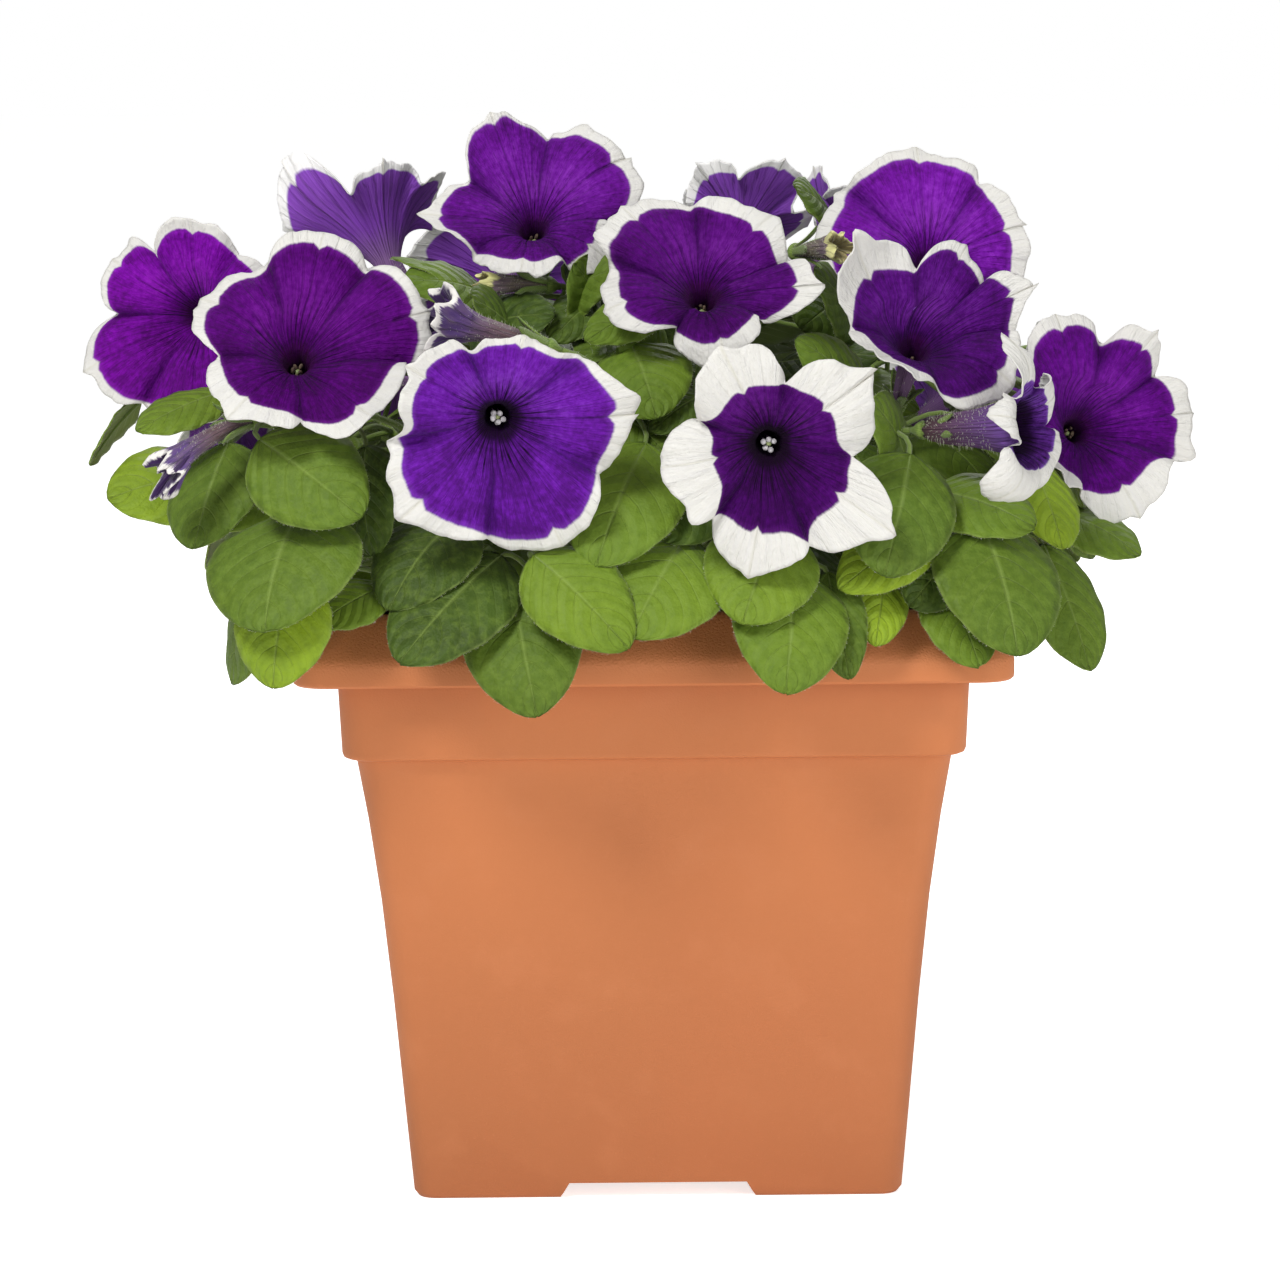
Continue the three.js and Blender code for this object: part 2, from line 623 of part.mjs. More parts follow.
function branchPath(from, name) {
  const { base, frame } = baseOf(name);
  const end = base.clone().addScaledVector(frame.forward, -CALYX_FOOT);
  const reach = 0.4 * end.distanceTo(from);
  const bend = from.clone().addScaledVector(UP, reach);
  return curve(from, bend, end.clone().addScaledVector(frame.forward, -reach), end, BRANCH_STEPS);
}

// A stem that ends in a calyx.
function flowerStem(path, radius, name) {
  const { base, frame, roll } = baseOf(name);
  const calyx = calyxRings(base, frame, roll);
  const back = [...path].reverse();
  const side = calyx[2][0].clone().sub(base);
  const stem = stemRings(back, tapered(back.length, PEDICEL_RADIUS, radius), STEM_SIDES, side);
  return shell(base.clone().addScaledVector(frame.forward, -SEAT_GAP), [...calyx, ...stem], path[0]);
}

function lowPath(azimuth) {
  const out = facing(azimuth, 0);
  const rim = rimReach(azimuth) / LIP_RINGS[1][0];
  const at = (reach, height) => out.clone().multiplyScalar(reach).setZ(height);
  const ground = at(LOW_ROOT, SOIL_TOP + STEM_UPRIGHT);
  const bend = at(LOW_ROOT + 6, LOW_TOP + 8);
  const crest = at(0.86 * LOW_REACH * rim, LOW_TOP + 12);
  const end = at(LOW_REACH * rim, LOW_TOP - 2);
  return [at(LOW_ROOT, SOIL_TOP - STEM_SUNK), ...curve(ground, bend, crest, end, STEM_STEPS)];
}

function segments(path) {
  return path.slice(1).map((point, i) => [path[i], point]);
}

// Every stem with the stretches of its axis that leaves may grow from.
function growStems() {
  const stems = [];
  for (const [name, shoot] of Object.entries(SHOOTS)) {
    const main = mainPath(shoot);
    const axis = segments(main.slice(1, -1));
    const solids = [];
    shoot.ends.forEach((end, i) => {
      const path = i === 0 ? main : branchPath(main[2 + i], end);
      solids.push(flowerStem(path, i === 0 ? STEM_BASE_RADIUS : BRANCH_RADIUS, end));
      if (i > 0) {
        axis.push(...segments(path.slice(0, -1)));
      }
    });
    stems.push({ name, root: V(...shoot.root, 0), axis, solids, leaves: [] });
  }
  LOW_SHOOTS.forEach((azimuth, i) => {
    const path = lowPath(azimuth);
    const root = facing(azimuth, 0).multiplyScalar(LOW_ROOT);
    const solids = [tube(path, tapered(path.length, STEM_BASE_RADIUS, 1), LOW_STEM_SIDES)];
    stems.push({ name: "shoot_low_" + (i + 1), root, axis: segments(path.slice(1)), solids, leaves: [] });
  });
  return stems;
}

// Leaves that the front shows, by hand: base, tip, width and roll of the face.
const FRONT_LEAVES = [
  [-190, -48, 296, -208, -60, 273, 16, 40],
  [-155, -90, 302, -185, -106, 289, 26, 0],
  [-158, -66, 268, -199, -84, 262, 38, -20],
  [-153, -98, 284, -164, -120, 248, 36, 0],
  [-139, -130, 288, -102, -150, 262, 35, 0],
  [-126, -126, 262, -136, -160, 223, 52, 0],
  [-128, -140, 240, -134, -150, 202, 34, 0],
  [-102, -116, 284, -99, -128, 246, 26, 20],
  [-70, -122, 262, -94, -150, 233, 34, 0],
  [-54, -132, 246, -89, -162, 212, 38, 0],
  [-96, -136, 240, -120, -148, 227, 20, 0],
  [-50, -138, 236, -41, -164, 193, 37, 0],
  [-42, -148, 248, -9, -166, 217, 31, 0],
  [-58, -130, 258, -19, -146, 243, 26, 0],
  [-2, -116, 284, -20, -152, 244, 40, 0],
  [12, -134, 254, -8, -164, 222, 42, 0],
  [24, -120, 280, 4, -142, 253, 32, 0],
  [44, -132, 256, 31, -158, 224, 36, 0],
  [50, -136, 240, 46, -162, 200, 36, 0],
  [62, -134, 240, 69, -150, 204, 18, 20],
  [83, -128, 240, 79, -144, 215, 18, 0],
  [92, -124, 280, 81, -154, 240, 36, 0],
  [100, -128, 256, 66, -142, 234, 24, 0],
  [100, -106, 258, 136, -122, 246, 30, 0],
  [117, -120, 256, 128, -152, 211, 43, 0],
  [110, -122, 248, 90, -138, 226, 25, 0],
  [104, -128, 234, 116, -146, 208, 26, 0],
  [138, -84, 274, 148, -106, 243, 26, 0],
  [148, -60, 252, 180, -72, 236, 32, 0],
  [142, -96, 244, 157, -116, 200, 30, 0],
  [72, -114, 292, 88, -128, 266, 20, 0],
  [80, -90, 292, 52, -104, 320, 24, 0],
  [-7, -94, 318, 2, -118, 293, 32, 0],
  [18, -102, 300, 0, -114, 288, 16, 0],
  [-9, -108, 296, 9, -120, 280, 18, 0],
  [2, -80, 326, -24, -98, 315, 18, 0],
  [-16, -66, 334, -36, -84, 318, 20, 0],
  [-60, -56, 334, -90, -72, 340, 26, 0],
  [-68, -66, 322, -36, -86, 330, 24, 0],
];

// Rows of leaves round the mound: height, reach beyond the rim or from the axis, count, droop and size.
const LEAF_ROWS = [
  { height: 218, beyond: 21, count: 18, droop: 64, length: 54, width: 47 },
  { height: 241, beyond: 22, count: 17, droop: 50, length: 52, width: 45 },
  { height: 263, reach: 158, count: 16, droop: 38, length: 50, width: 42 },
  { height: 284, reach: 144, count: 14, droop: 26, length: 46, width: 36 },
  { height: 300, reach: 118, count: 12, droop: 14, length: 42, width: 33 },
  { height: 312, reach: 86, count: 11, droop: 4, length: 38, width: 29 },
  { height: 322, reach: 48, count: 8, droop: -12, length: 33, width: 25 },
  { height: 318, reach: 16, count: 4, droop: -24, length: 28, width: 20 },
  { height: 262, reach: 118, count: 14, droop: 30, length: 44, width: 36, all: true },
  { height: 284, reach: 82, count: 10, droop: 16, length: 40, width: 32, all: true },
  { height: 242, reach: 122, count: 14, droop: 26, length: 46, width: 40, all: true },
  { height: 240, reach: 84, count: 11, droop: 4, length: 46, width: 38, all: true },
  { height: 250, reach: 40, count: 6, droop: -6, length: 46, width: 36, all: true },
  { height: 290, reach: 44, count: 7, droop: 0, length: 38, width: 30, all: true },
  { height: 229, beyond: 10, count: 22, droop: 44, length: 44, width: 38 },
  { height: 254, beyond: 6, count: 20, droop: 34, length: 44, width: 38 },
  { height: 276, reach: 138, count: 16, droop: 26, length: 42, width: 34 },
  { height: 226, reach: 102, count: 12, droop: 16, length: 42, width: 34, all: true },
  { height: 226, reach: 56, count: 6, droop: 0, length: 40, width: 32, all: true },
];
// The front between these compass directions is planted by hand below this height.
const HAND_SPAN = 66;
const HAND_TOP = 310;

function rowLeaves() {
  const draw = drawer(20260);
  const leaves = [];
  LEAF_ROWS.forEach((row, level) => {
    for (let i = 0; i < row.count; i++) {
      const azimuth = 360 * (i + 0.5 * (level % 2)) / row.count + 8 * (draw() - 0.5);
      const swing = 60 * (draw() - 0.5);
      const droop = row.droop + 20 * (draw() - 0.5);
      const size = 0.86 + 0.24 * draw();
      const shift = 10 * (draw() - 0.5);
      const roll = 30 * (draw() - 0.5);
      const fromFront = Math.abs(((azimuth + 180) % 360) - 180);
      if (row.height < HAND_TOP && fromFront < HAND_SPAN && !row.all) {
        continue;
      }
      const reach = "beyond" in row ? rimReach(azimuth) + row.beyond : row.reach;
      const middle = facing(azimuth, 0).multiplyScalar(reach).setZ(row.height + shift);
      const along = facing(azimuth + swing, -droop).multiplyScalar(row.length * size / 2);
      leaves.push({
        base: middle.clone().sub(along).toArray(),
        tip: middle.clone().add(along).toArray(),
        width: row.width * size,
        roll,
      });
    }
  });
  return leaves;
}

function allLeaves() {
  const draw = drawer(7411);
  const front = FRONT_LEAVES.map(([bx, by, bz, tx, ty, tz, width, roll]) => (
    { base: [bx, by, bz], tip: [tx, ty, tz], width, roll }
  ));
  return [...front, ...rowLeaves()].map((leaf) => ({
    ...leaf,
    arch: 0.04 + 0.08 * draw(),
    wave: 0.6 * draw(),
    phase: 6 * draw(),
  }));
}

// A leaf that would cross a neighbour is bent clear: pushed in or out, then rolled, then made smaller.
const PUSHES = [0, -3, 3, -6, 6, -9, 9, -13, 13, -18];
const ROLLS = [0, 14, -14, 28];
const TRIES = 80;

function bentClear(leaf, attempt) {
  const push = PUSHES[attempt % PUSHES.length];
  const roll = ROLLS[Math.floor(attempt / PUSHES.length) % ROLLS.length];
  const size = attempt < PUSHES.length * ROLLS.length ? 1 : 0.8;
  const frame = leafFrame(leaf);
  const move = frame.face.clone().multiplyScalar(push);
  const base = frame.base.clone().add(move);
  const tip = base.clone().addScaledVector(frame.along, frame.length * size);
  const width = leaf.width * size;
  return { ...leaf, base: base.toArray(), tip: tip.toArray(), width, roll: leaf.roll + roll };
}

// Where a leaf's stalk starts: a near point of a stem, a little below the leaf's base and behind it.
function nearestStem(stems, leaf) {
  const { base, along } = leafFrame(leaf);
  const spot = base.clone().addScaledVector(UP, -STALK_DROP);
  let best = { cost: Infinity };
  for (const stem of stems) {
    for (const [start, end] of stem.axis) {
      const point = new THREE.Line3(start, end).closestPointToPoint(spot, true, V(0, 0, 0));
      const turn = base.clone().sub(point).normalize().dot(along);
      const cost = point.distanceTo(spot) * (BEHIND - turn);
      if (turn > SHARPEST_TURN && cost < best.cost) {
        best = { cost, stem, point };
      }
    }
  }
  return best;
}

// A solid with its box, which keeps the clearance tests few, and the stem that it is part of.
function boxed(solid, owner) {
  return { solid, box: solid.boundingBox(), owner };
}

function crosses(a, b) {
  for (let k = 0; k < 3; k++) {
    if (a.box.max[k] < b.box.min[k] || b.box.max[k] < a.box.min[k]) {
      return false;
    }
  }
  const shared = a.solid.intersect(b.solid);
  const hit = !shared.isEmpty();
  shared.delete();
  return hit;
}

// Every leaf goes where its blade meets nothing and its stalk meets only its own stem and the stalks on it.
function plantLeaves(stems, fixed) {
  const blades = [];
  const stalks = [];
  for (const leaf of allLeaves()) {
    for (let attempt = 0; attempt < TRIES; attempt++) {
      const bent = bentClear(leaf, attempt);
      const { stem, point } = nearestStem(stems, bent);
      const blade = boxed(bladeRoom(bent), stem);
      const stalk = boxed(stalkRoom(bent, point), stem);
      const stemsAndStalks = [...fixed, ...stalks];
      const blocked = stemsAndStalks.some((piece) => crosses(blade, piece))
        || stemsAndStalks.some((piece) => piece.owner !== stem && crosses(stalk, piece))
        || blades.some((piece) => crosses(blade, piece) || crosses(stalk, piece));
      if (!blocked) {
        blades.push(blade);
        stalks.push(stalk);
        stem.leaves.push(leafSolid(bent, point));
        break;
      }
      blade.solid.delete();
      stalk.solid.delete();
    }
  }
}

// Joining may seal specks of air between stalks. They are filled: only the outer body is kept.
function largestBody(solid) {
  return solid.decompose().reduce((best, body) => (body.volume() > best.volume() ? body : best));
}

// Joining leaves some corners a hair apart. Where an edge is shorter than FINEST, its corners become one.
function withoutHairs(solid) {
  const mesh = solid.getMesh();
  const places = Array.from({ length: mesh.numVert }, (_, i) => i);
  const points = places.map((i) => V(0, 0, 0).fromArray(mesh.vertProperties, i * mesh.numProp));
  const kept = (i) => (places[i] === i ? i : kept(places[i]));
  const triangles = [];
  for (let i = 0; i < mesh.triVerts.length; i += 3) {
    triangles.push([...mesh.triVerts.subarray(i, i + 3)]);
  }
  for (const [a, b, c] of triangles) {
    for (const [start, end] of [[a, b], [b, c], [c, a]]) {
      if (points[start].distanceTo(points[end]) < FINEST) {
        places[kept(start)] = kept(end);
      }
    }
  }
  const merged = triangles.map((corners) => corners.map(kept));
  return solidOf(points, merged.filter(([a, b, c]) => a !== b && b !== c && c !== a));
}

// The finished plant in its pot

const group = new THREE.Group();

function addPiece(name, solid, look) {
  const mesh = solid.getMesh();
  const geometry = new THREE.BufferGeometry();
  const positions = new Float32Array(mesh.numVert * 3);
  for (let i = 0; i < mesh.numVert; i++) {
    positions.set(mesh.vertProperties.subarray(i * mesh.numProp, i * mesh.numProp + 3), i * 3);
  }
  geometry.setAttribute("position", new THREE.BufferAttribute(positions, 3));
  geometry.setIndex([...mesh.triVerts]);
  const piece = new THREE.Mesh(geometry, new THREE.MeshStandardMaterial(look));
  piece.name = name;
  group.add(piece);
}

const stems = growStems();
const pot = potSolid();
const soil = soilSolid(stems.map((stem) => stem.root));
const fixed = [boxed(pot, null), boxed(soil, null)];
addPiece("pot", pot, TERRACOTTA);
addPiece("soil", soil, DARK_SOIL);
for (const [name, bloom] of Object.entries(BLOOMS)) {
  const corolla = corollaSolid({ girth: 1, skew: [0, 0], ...bloom });
  fixed.push(boxed(corolla, null));
  addPiece(name, corolla, VIOLET);
}
for (const [name, bud] of Object.entries(BUDS)) {
  const folded = budSolid(bud);
  fixed.push(boxed(folded, null));
  addPiece(name, folded, MAUVE);
}
for (const stem of stems) {
  fixed.push(...stem.solids.map((solid) => boxed(solid, stem)));
}
plantLeaves(stems, fixed);
for (const stem of stems) {
  const whole = [...stem.solids, ...stem.leaves].reduce((sum, solid) => sum.add(solid));
  addPiece(stem.name, largestBody(withoutHairs(whole).simplify(FINEST)), GREEN);
}

export default group;
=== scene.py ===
"""Potted petunia: fine petals, leaves, stems, hairs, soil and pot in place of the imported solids."""

import math

import bpy
import numpy as np
from mathutils import Matrix, kdtree


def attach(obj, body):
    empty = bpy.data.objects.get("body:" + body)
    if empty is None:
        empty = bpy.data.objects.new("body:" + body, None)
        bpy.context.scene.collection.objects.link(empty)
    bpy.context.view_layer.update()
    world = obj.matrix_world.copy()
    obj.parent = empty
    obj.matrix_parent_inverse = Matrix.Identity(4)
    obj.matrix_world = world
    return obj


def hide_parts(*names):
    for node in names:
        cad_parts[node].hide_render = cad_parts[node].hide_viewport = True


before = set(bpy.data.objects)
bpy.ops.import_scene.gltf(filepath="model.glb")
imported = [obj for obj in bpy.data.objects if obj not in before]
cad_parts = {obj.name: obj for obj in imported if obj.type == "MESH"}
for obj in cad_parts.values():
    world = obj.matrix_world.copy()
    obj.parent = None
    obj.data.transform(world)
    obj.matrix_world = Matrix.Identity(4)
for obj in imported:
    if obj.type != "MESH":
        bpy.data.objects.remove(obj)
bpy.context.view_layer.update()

# Sizes are in millimetres and turned into metres when a mesh gets its points. The front looks along -Y.
MM = 0.001
UP = np.array([0.0, 0.0, 1.0])

# The photograph's view: what the camera looks at, from how far and how high, its lens and its slight roll.
VIEW_TARGET = np.array([-4.8, 0.0, 196.9])
VIEW_DISTANCE = 1700
VIEW_ELEVATION = 8
VIEW_ROLL = 0.55
PHOTO_SIDE = 1280
FOCAL_LENGTH_PIXELS = 4392.8

# Light, in metres. The camera sees a white room and a white floor, and the light that they give the plant is
# set apart from that. Lamps: where each one is, how wide it is, and its power in watts.
ROOM_LIGHT = 0.29
FLOOR_GLOW = 0.17
LAMPS = {
    "key_light": ((-1.1, -1.7, 2.3), 0.9, 57),
    "fill_light": ((1.5, -2.0, 0.7), 1.6, 22),
    "back_light": ((0.4, 2.0, 1.8), 1.6, 26),
}
LAMP_TARGET = (0, 0, 0.24)
FLOOR_SIZE = 40
FLOOR_DROP = 0.0002

# The pot, from the ground up: half width, height and corner radius.
CORNER_STEPS = 8
BODY = [
    (89.6, 0, 7), (91.2, 2.2, 8), (94.2, 37, 9), (97.4, 76, 9.5), (101.1, 114, 10), (105.1, 145, 10.5),
    (109, 169, 11),
]
COLLAR = [(112, 169, 11), (113.2, 169.6, 11.5), (113.8, 171.2, 11.5), (115, 197.6, 12)]
LIP_INSIDE = [(115.2, 208, 12), (117.5, 212.5, 12), (122, 209, 12), (126.9, 203.5, 12), (127.2, 198.8, 12)]
LIP = [
    (127.8, 198.2, 12), (128.9, 198.3, 12), (129.8, 199.2, 12), (130, 200.4, 12), (130, 205.4, 12),
    (129.6, 207.4, 12), (128.2, 209.5, 12), (124.6, 213.5, 12), (120.5, 218.5, 12), (118.4, 221.2, 12),
    (117, 222.5, 12), (115.4, 223.2, 11.5), (114.2, 223.1, 11.3), (113.2, 222.4, 11),
]
INSIDE = [
    (112.4, 220.6, 10.5), (112, 217, 10), (111.9, 205, 9.5), (110.8, 173.5, 9), (106.2, 167.5, 8.5),
    (102.1, 145, 8), (98.1, 114, 7), (94.4, 76, 6.5), (91.2, 37, 6), (88.6, 10.5, 5), (87, 9, 4),
]
# The middle of the floor: half width and corner radius of the ring that closes it, and how high it lies.
CLOSED = 0.01
CLOSED_CORNER = 0.005
FLOOR_TOP = 9
RIM_HALF = 130
RIM_CORNER_REACH = 172
EDGE_ROUNDING = 0.6
FOOT_HEIGHT = 5.7
NOTCH_TOP_WIDTH = 66
NOTCH_GROUND_WIDTH = 74
NOTCH_HALF_LENGTH = 120
DRAIN_RADIUS = 5
DRAIN_OFFSET = 45
DRAIN_SPOTS = ((0, 0), (1, 0), (-1, 0), (0, 1), (0, -1))

# The soil, and what is strewn on it: how many, and the smallest and the largest radius.
SOIL_TOP = 203
SOIL_HALF = 111.4
SOIL_DEPTH = 3
SOIL_GAP = 0.35
SOIL_CORNER = 9
SOIL_GRID = 60
SWELLING = 2.2
LUMPS = 0.9
STREWN_HALF = 104
CRUMBS = (900, 0.8, 2.6)
PERLITE_GRAINS = (90, 0.9, 2.2)

# Stems.
STEM_SUNK = 12
STEM_UPRIGHT = 5
STEM_LEAN = 0.12
STEM_LIFT = 0.45
CALYX_LIFT = 0.34
STEM_BASE_RADIUS = 2
BRANCH_RADIUS = 1.4
PEDICEL_RADIUS = 1.15
LOW_END_RADIUS = 1
LOW_ROOT = 76
LOW_REACH = 132
LOW_TOP = 236
STEM_STEPS = 5
BRANCH_STEPS = 4
SMOOTH_STEPS = 8

# Corollas. The tube's radii are at the depths behind the throat that stand under them.
THROAT_RADIUS = 4.6
THROAT_START = 0.015
TUBE_LENGTH = 34
TUBE_RADII = [1.2, 1.9, 2.3, 2.9, 3.5, 4.1, 5]
TUBE_DEPTHS = [33.6, 32, 29, 24, 14, 7, 2.6]
TUBE_FOOT = TUBE_DEPTHS[0]
TUBE_MOUTH = TUBE_DEPTHS[-1]
CURL_START = 0.5
SMOOTHING = np.linspace(-0.035, 0.035, 7)
PETAL_THICKNESS = 0.45

# Waves round a corolla: how many, how the bloom's phase shifts them, and how large they are. Frills also
# have the power of the share with which they grow towards the edge.
TEETH = ((31, 3, 0.2), (53, 5, 0.12), (17, 1, 0.3), (11, 4, 0.7))
TEETH_DEPTH = 0.9
RUFFLES = ((3, 1, 0.6), (7, 2, 0.5))
FRILLS = ((12, 3, 0.8, 4), (23, 1, 0.35, 5), (41, 2, 0.2, 7))

# The relief of a limb: the groove of a midrib and the folds at a seam, each as its depth, its width as a
# share of half a lobe and the share at which it would end, a dip at the edge, and how far one lobe laps over
# the next.
MIDRIB_WIDTH = 0.08
MIDRIB_GROOVE = (0.8, MIDRIB_WIDTH, 1.15)
SEAM_FOLDS = ((1.6, 0.12, 1.2), (4.6, 0.4, 1.3))
SEAM_DIP = 2.0
SEAM_DIP_WIDTH = 0.2
LAP = 4.2

# Stamens, pistil and hairs.
FILAMENT_RADIUS = 0.28
STYLE_RADIUS = 0.35
FILAMENT_FOOT = -30
STYLE_FOOT = -31
STAMENS = 5
STAMEN_TURN = 1.257
SHOWN_ANTHERS = -0.5
SUNKEN_ANTHERS = -7
ANTHER_STEPS = (-1.2, -0.7, 0, 0.7, 1.2)
ANTHER_RADII = (0.5, 0.9, 1.05, 0.85, 0.4)
STIGMA_STEPS = (-0.3, 0.1, 0.7, 1.1)
STIGMA_RADII = (0.5, 1.1, 1.0, 0.5)
TUBE_HAIRS = 90
YOUNG_TUBE_HAIRS = 600
TUBE_HAIR_RADIUS = 0.08
BUD_HAIRS = 320
BUD_HAIR_RADIUS = 0.07
LEAF_HAIRS_PER_LENGTH = 1.8
STEM_HAIRS_PER_LENGTH = 2.2
SEPAL_HAIRS = 34
GREEN_HAIR_RADIUS = 0.05

# Calyces. The cup's radii stand over the heights that they are at.
CALYX_FOOT = 4.5
CUP_HEIGHTS = [-CALYX_FOOT, -3.2, -1.8, -0.6, 0.4, 1.2]
CUP_RADII = [PEDICEL_RADIUS, 1.5, 2.6, 3.3, 3.5, 3.2]
SEPAL_START = 2.6
SEPAL_REACH = 7.6
SEPAL_LENGTH = 15.5
SEPAL_WIDTH = 3.6
SEPAL_THICKNESS = 0.7

# Leaves. A leaf of the solids that met another solid was pushed, rolled or made smaller, tried in this order.
LEAF_THICKNESS = 0.55
LEAF_SAG = 0.07
LEAF_STATIONS = (0.2, 0.5, 0.8)
STALK_DROP = 9
BEHIND = 3
SHARPEST_TURN = -0.3
PUSHES = (0, -3, 3, -6, 6, -9, 9, -13, 13, -18)
ROLLS = (0, 14, -14, 28)
SMALLER = 0.8
TRIES = 80
SAME_PLACE = 0.12
POINTS_TO_MATCH = 5

# Grids: faces round and along a corolla, a bud, a leaf and a sepal.
PETAL_COLUMNS = 170
HIDDEN_PETAL_COLUMNS = 100
TUBE_ROWS = 8
LIMB_ROWS = 28
PETAL_ROWS = TUBE_ROWS + LIMB_ROWS
LIMB_START = TUBE_ROWS / PETAL_ROWS
BUD_COLUMNS = 70
BUD_ROWS = 44
LEAF_COLUMNS = 10
LEAF_ROWS_FINE = 22
SEPAL_COLUMNS = 6
SEPAL_ROWS = 12
SIDE_VEINS = 6.5

# Blooms: where the throat is, which way it faces and the roll of its lobes in degrees, how deep its cup is,
# its ruffle and the phase of its waves. Some have a wider tube or throat, or longer lobes. Those that LOBES
# doesn't list have the radius, the depth of the notches as a share of it, and how far each lobe bends.
BLOOMS = {
    "bloom_left": dict(at=(-166, -62, 328), az=-20, el=8, roll=96, cup=13, ruffle=1.6, phase=0.4),
    "bloom_left_front": dict(at=(-126, -122, 315), az=2, el=32, roll=92, cup=13, ruffle=1.3, phase=1.9),
    "bloom_back_left": dict(
        at=(-100, 0, 344), az=-150, el=52, roll=80, cup=24, ruffle=1.8, phase=2.7,
        girth=1.3),
    "bloom_top": dict(at=(-43, -55, 358), az=-4, el=38, roll=100, cup=12, ruffle=2.2, phase=0.9),
    "bloom_centre_front": dict(at=(-54, -148, 297), az=6, el=-6, roll=84, cup=12, ruffle=1.2, phase=3.3),
    "bloom_centre_right": dict(at=(19, -95, 334), az=2, el=38, roll=88, cup=12, ruffle=1.9, phase=4.4),
    "bloom_star": dict(at=(41, -150, 287), az=4, el=-4, roll=106, cup=10, ruffle=1.1, phase=5.2),
    "bloom_top_right": dict(at=(104, -28, 342), az=4, el=28, roll=90, cup=12, ruffle=1.7, phase=0.2),
    "bloom_right": dict(at=(95, -98, 315), az=10, el=40, roll=80, cup=15, ruffle=1.6, phase=2.2),
    "bloom_far_right": dict(at=(159, -46, 281), az=22, el=14, roll=94, cup=12, ruffle=1.8, phase=1.2),
    "bloom_back_middle": dict(
        at=(36, 36, 352), az=160, el=48, roll=60, cup=12, ruffle=1.6, phase=3.9,
        radius=27, notch=0.2, bends=(-3, 3, 2, -2, 3)),
    "bloom_back_right": dict(
        at=(73, 48, 346), az=120, el=44, roll=70, cup=12, ruffle=1.6, phase=5.7,
        radius=26, notch=0.18, bends=(3, -2, 4, 2, -3)),
    "bloom_half_open": dict(
        at=(126, -129, 290), az=58, el=4, roll=90, cup=13, ruffle=1.2, phase=4.9,
        girth=1.85, throat=9, lobe=2.3),
    "bloom_side_right": dict(
        at=(153, 42, 270), az=100, el=12, roll=90, cup=12, ruffle=1.7, phase=2.5,
        radius=40, notch=0.13, bends=(2, -2, 3, -2, 1)),
    "bloom_rear_1": dict(
        at=(118, 104, 276), az=134, el=14, roll=98, cup=12, ruffle=1.7, phase=0.7,
        radius=41, notch=0.12, bends=(-2, 3, 1, -3, 2)),
    "bloom_rear_2": dict(
        at=(52, 146, 294), az=164, el=8, roll=86, cup=12, ruffle=1.5, phase=3.1,
        radius=42, notch=0.12, bends=(3, 1, -2, 2, -2)),
    "bloom_rear_3": dict(
        at=(-26, 150, 268), az=186, el=4, roll=92, cup=12, ruffle=1.5, phase=1.6,
        radius=41, notch=0.15, bends=(-1, 3, -3, 1, 2)),
    "bloom_rear_4": dict(
        at=(-104, 126, 292), az=216, el=12, roll=84, cup=13, ruffle=1.7, phase=4.1,
        radius=41, notch=0.13, bends=(2, -3, 2, 3, -1)),
    "bloom_side_left": dict(
        at=(-156, 48, 288), az=252, el=12, roll=90, cup=12, ruffle=1.6, phase=5.5,
        radius=40, notch=0.14, bends=(3, -2, -2, 2, 3)),
    "bloom_rear_5": dict(
        at=(14, 88, 320), az=172, el=30, roll=94, cup=12, ruffle=1.8, phase=0.1,
        radius=39, notch=0.13, bends=(-2, 4, 1, -2, 3)),
    "bloom_rear_6": dict(
        at=(-56, 74, 330), az=200, el=30, roll=88, cup=12, ruffle=1.8, phase=2.9,
        radius=39, notch=0.14, bends=(3, -1, 3, -3, 1)),
}

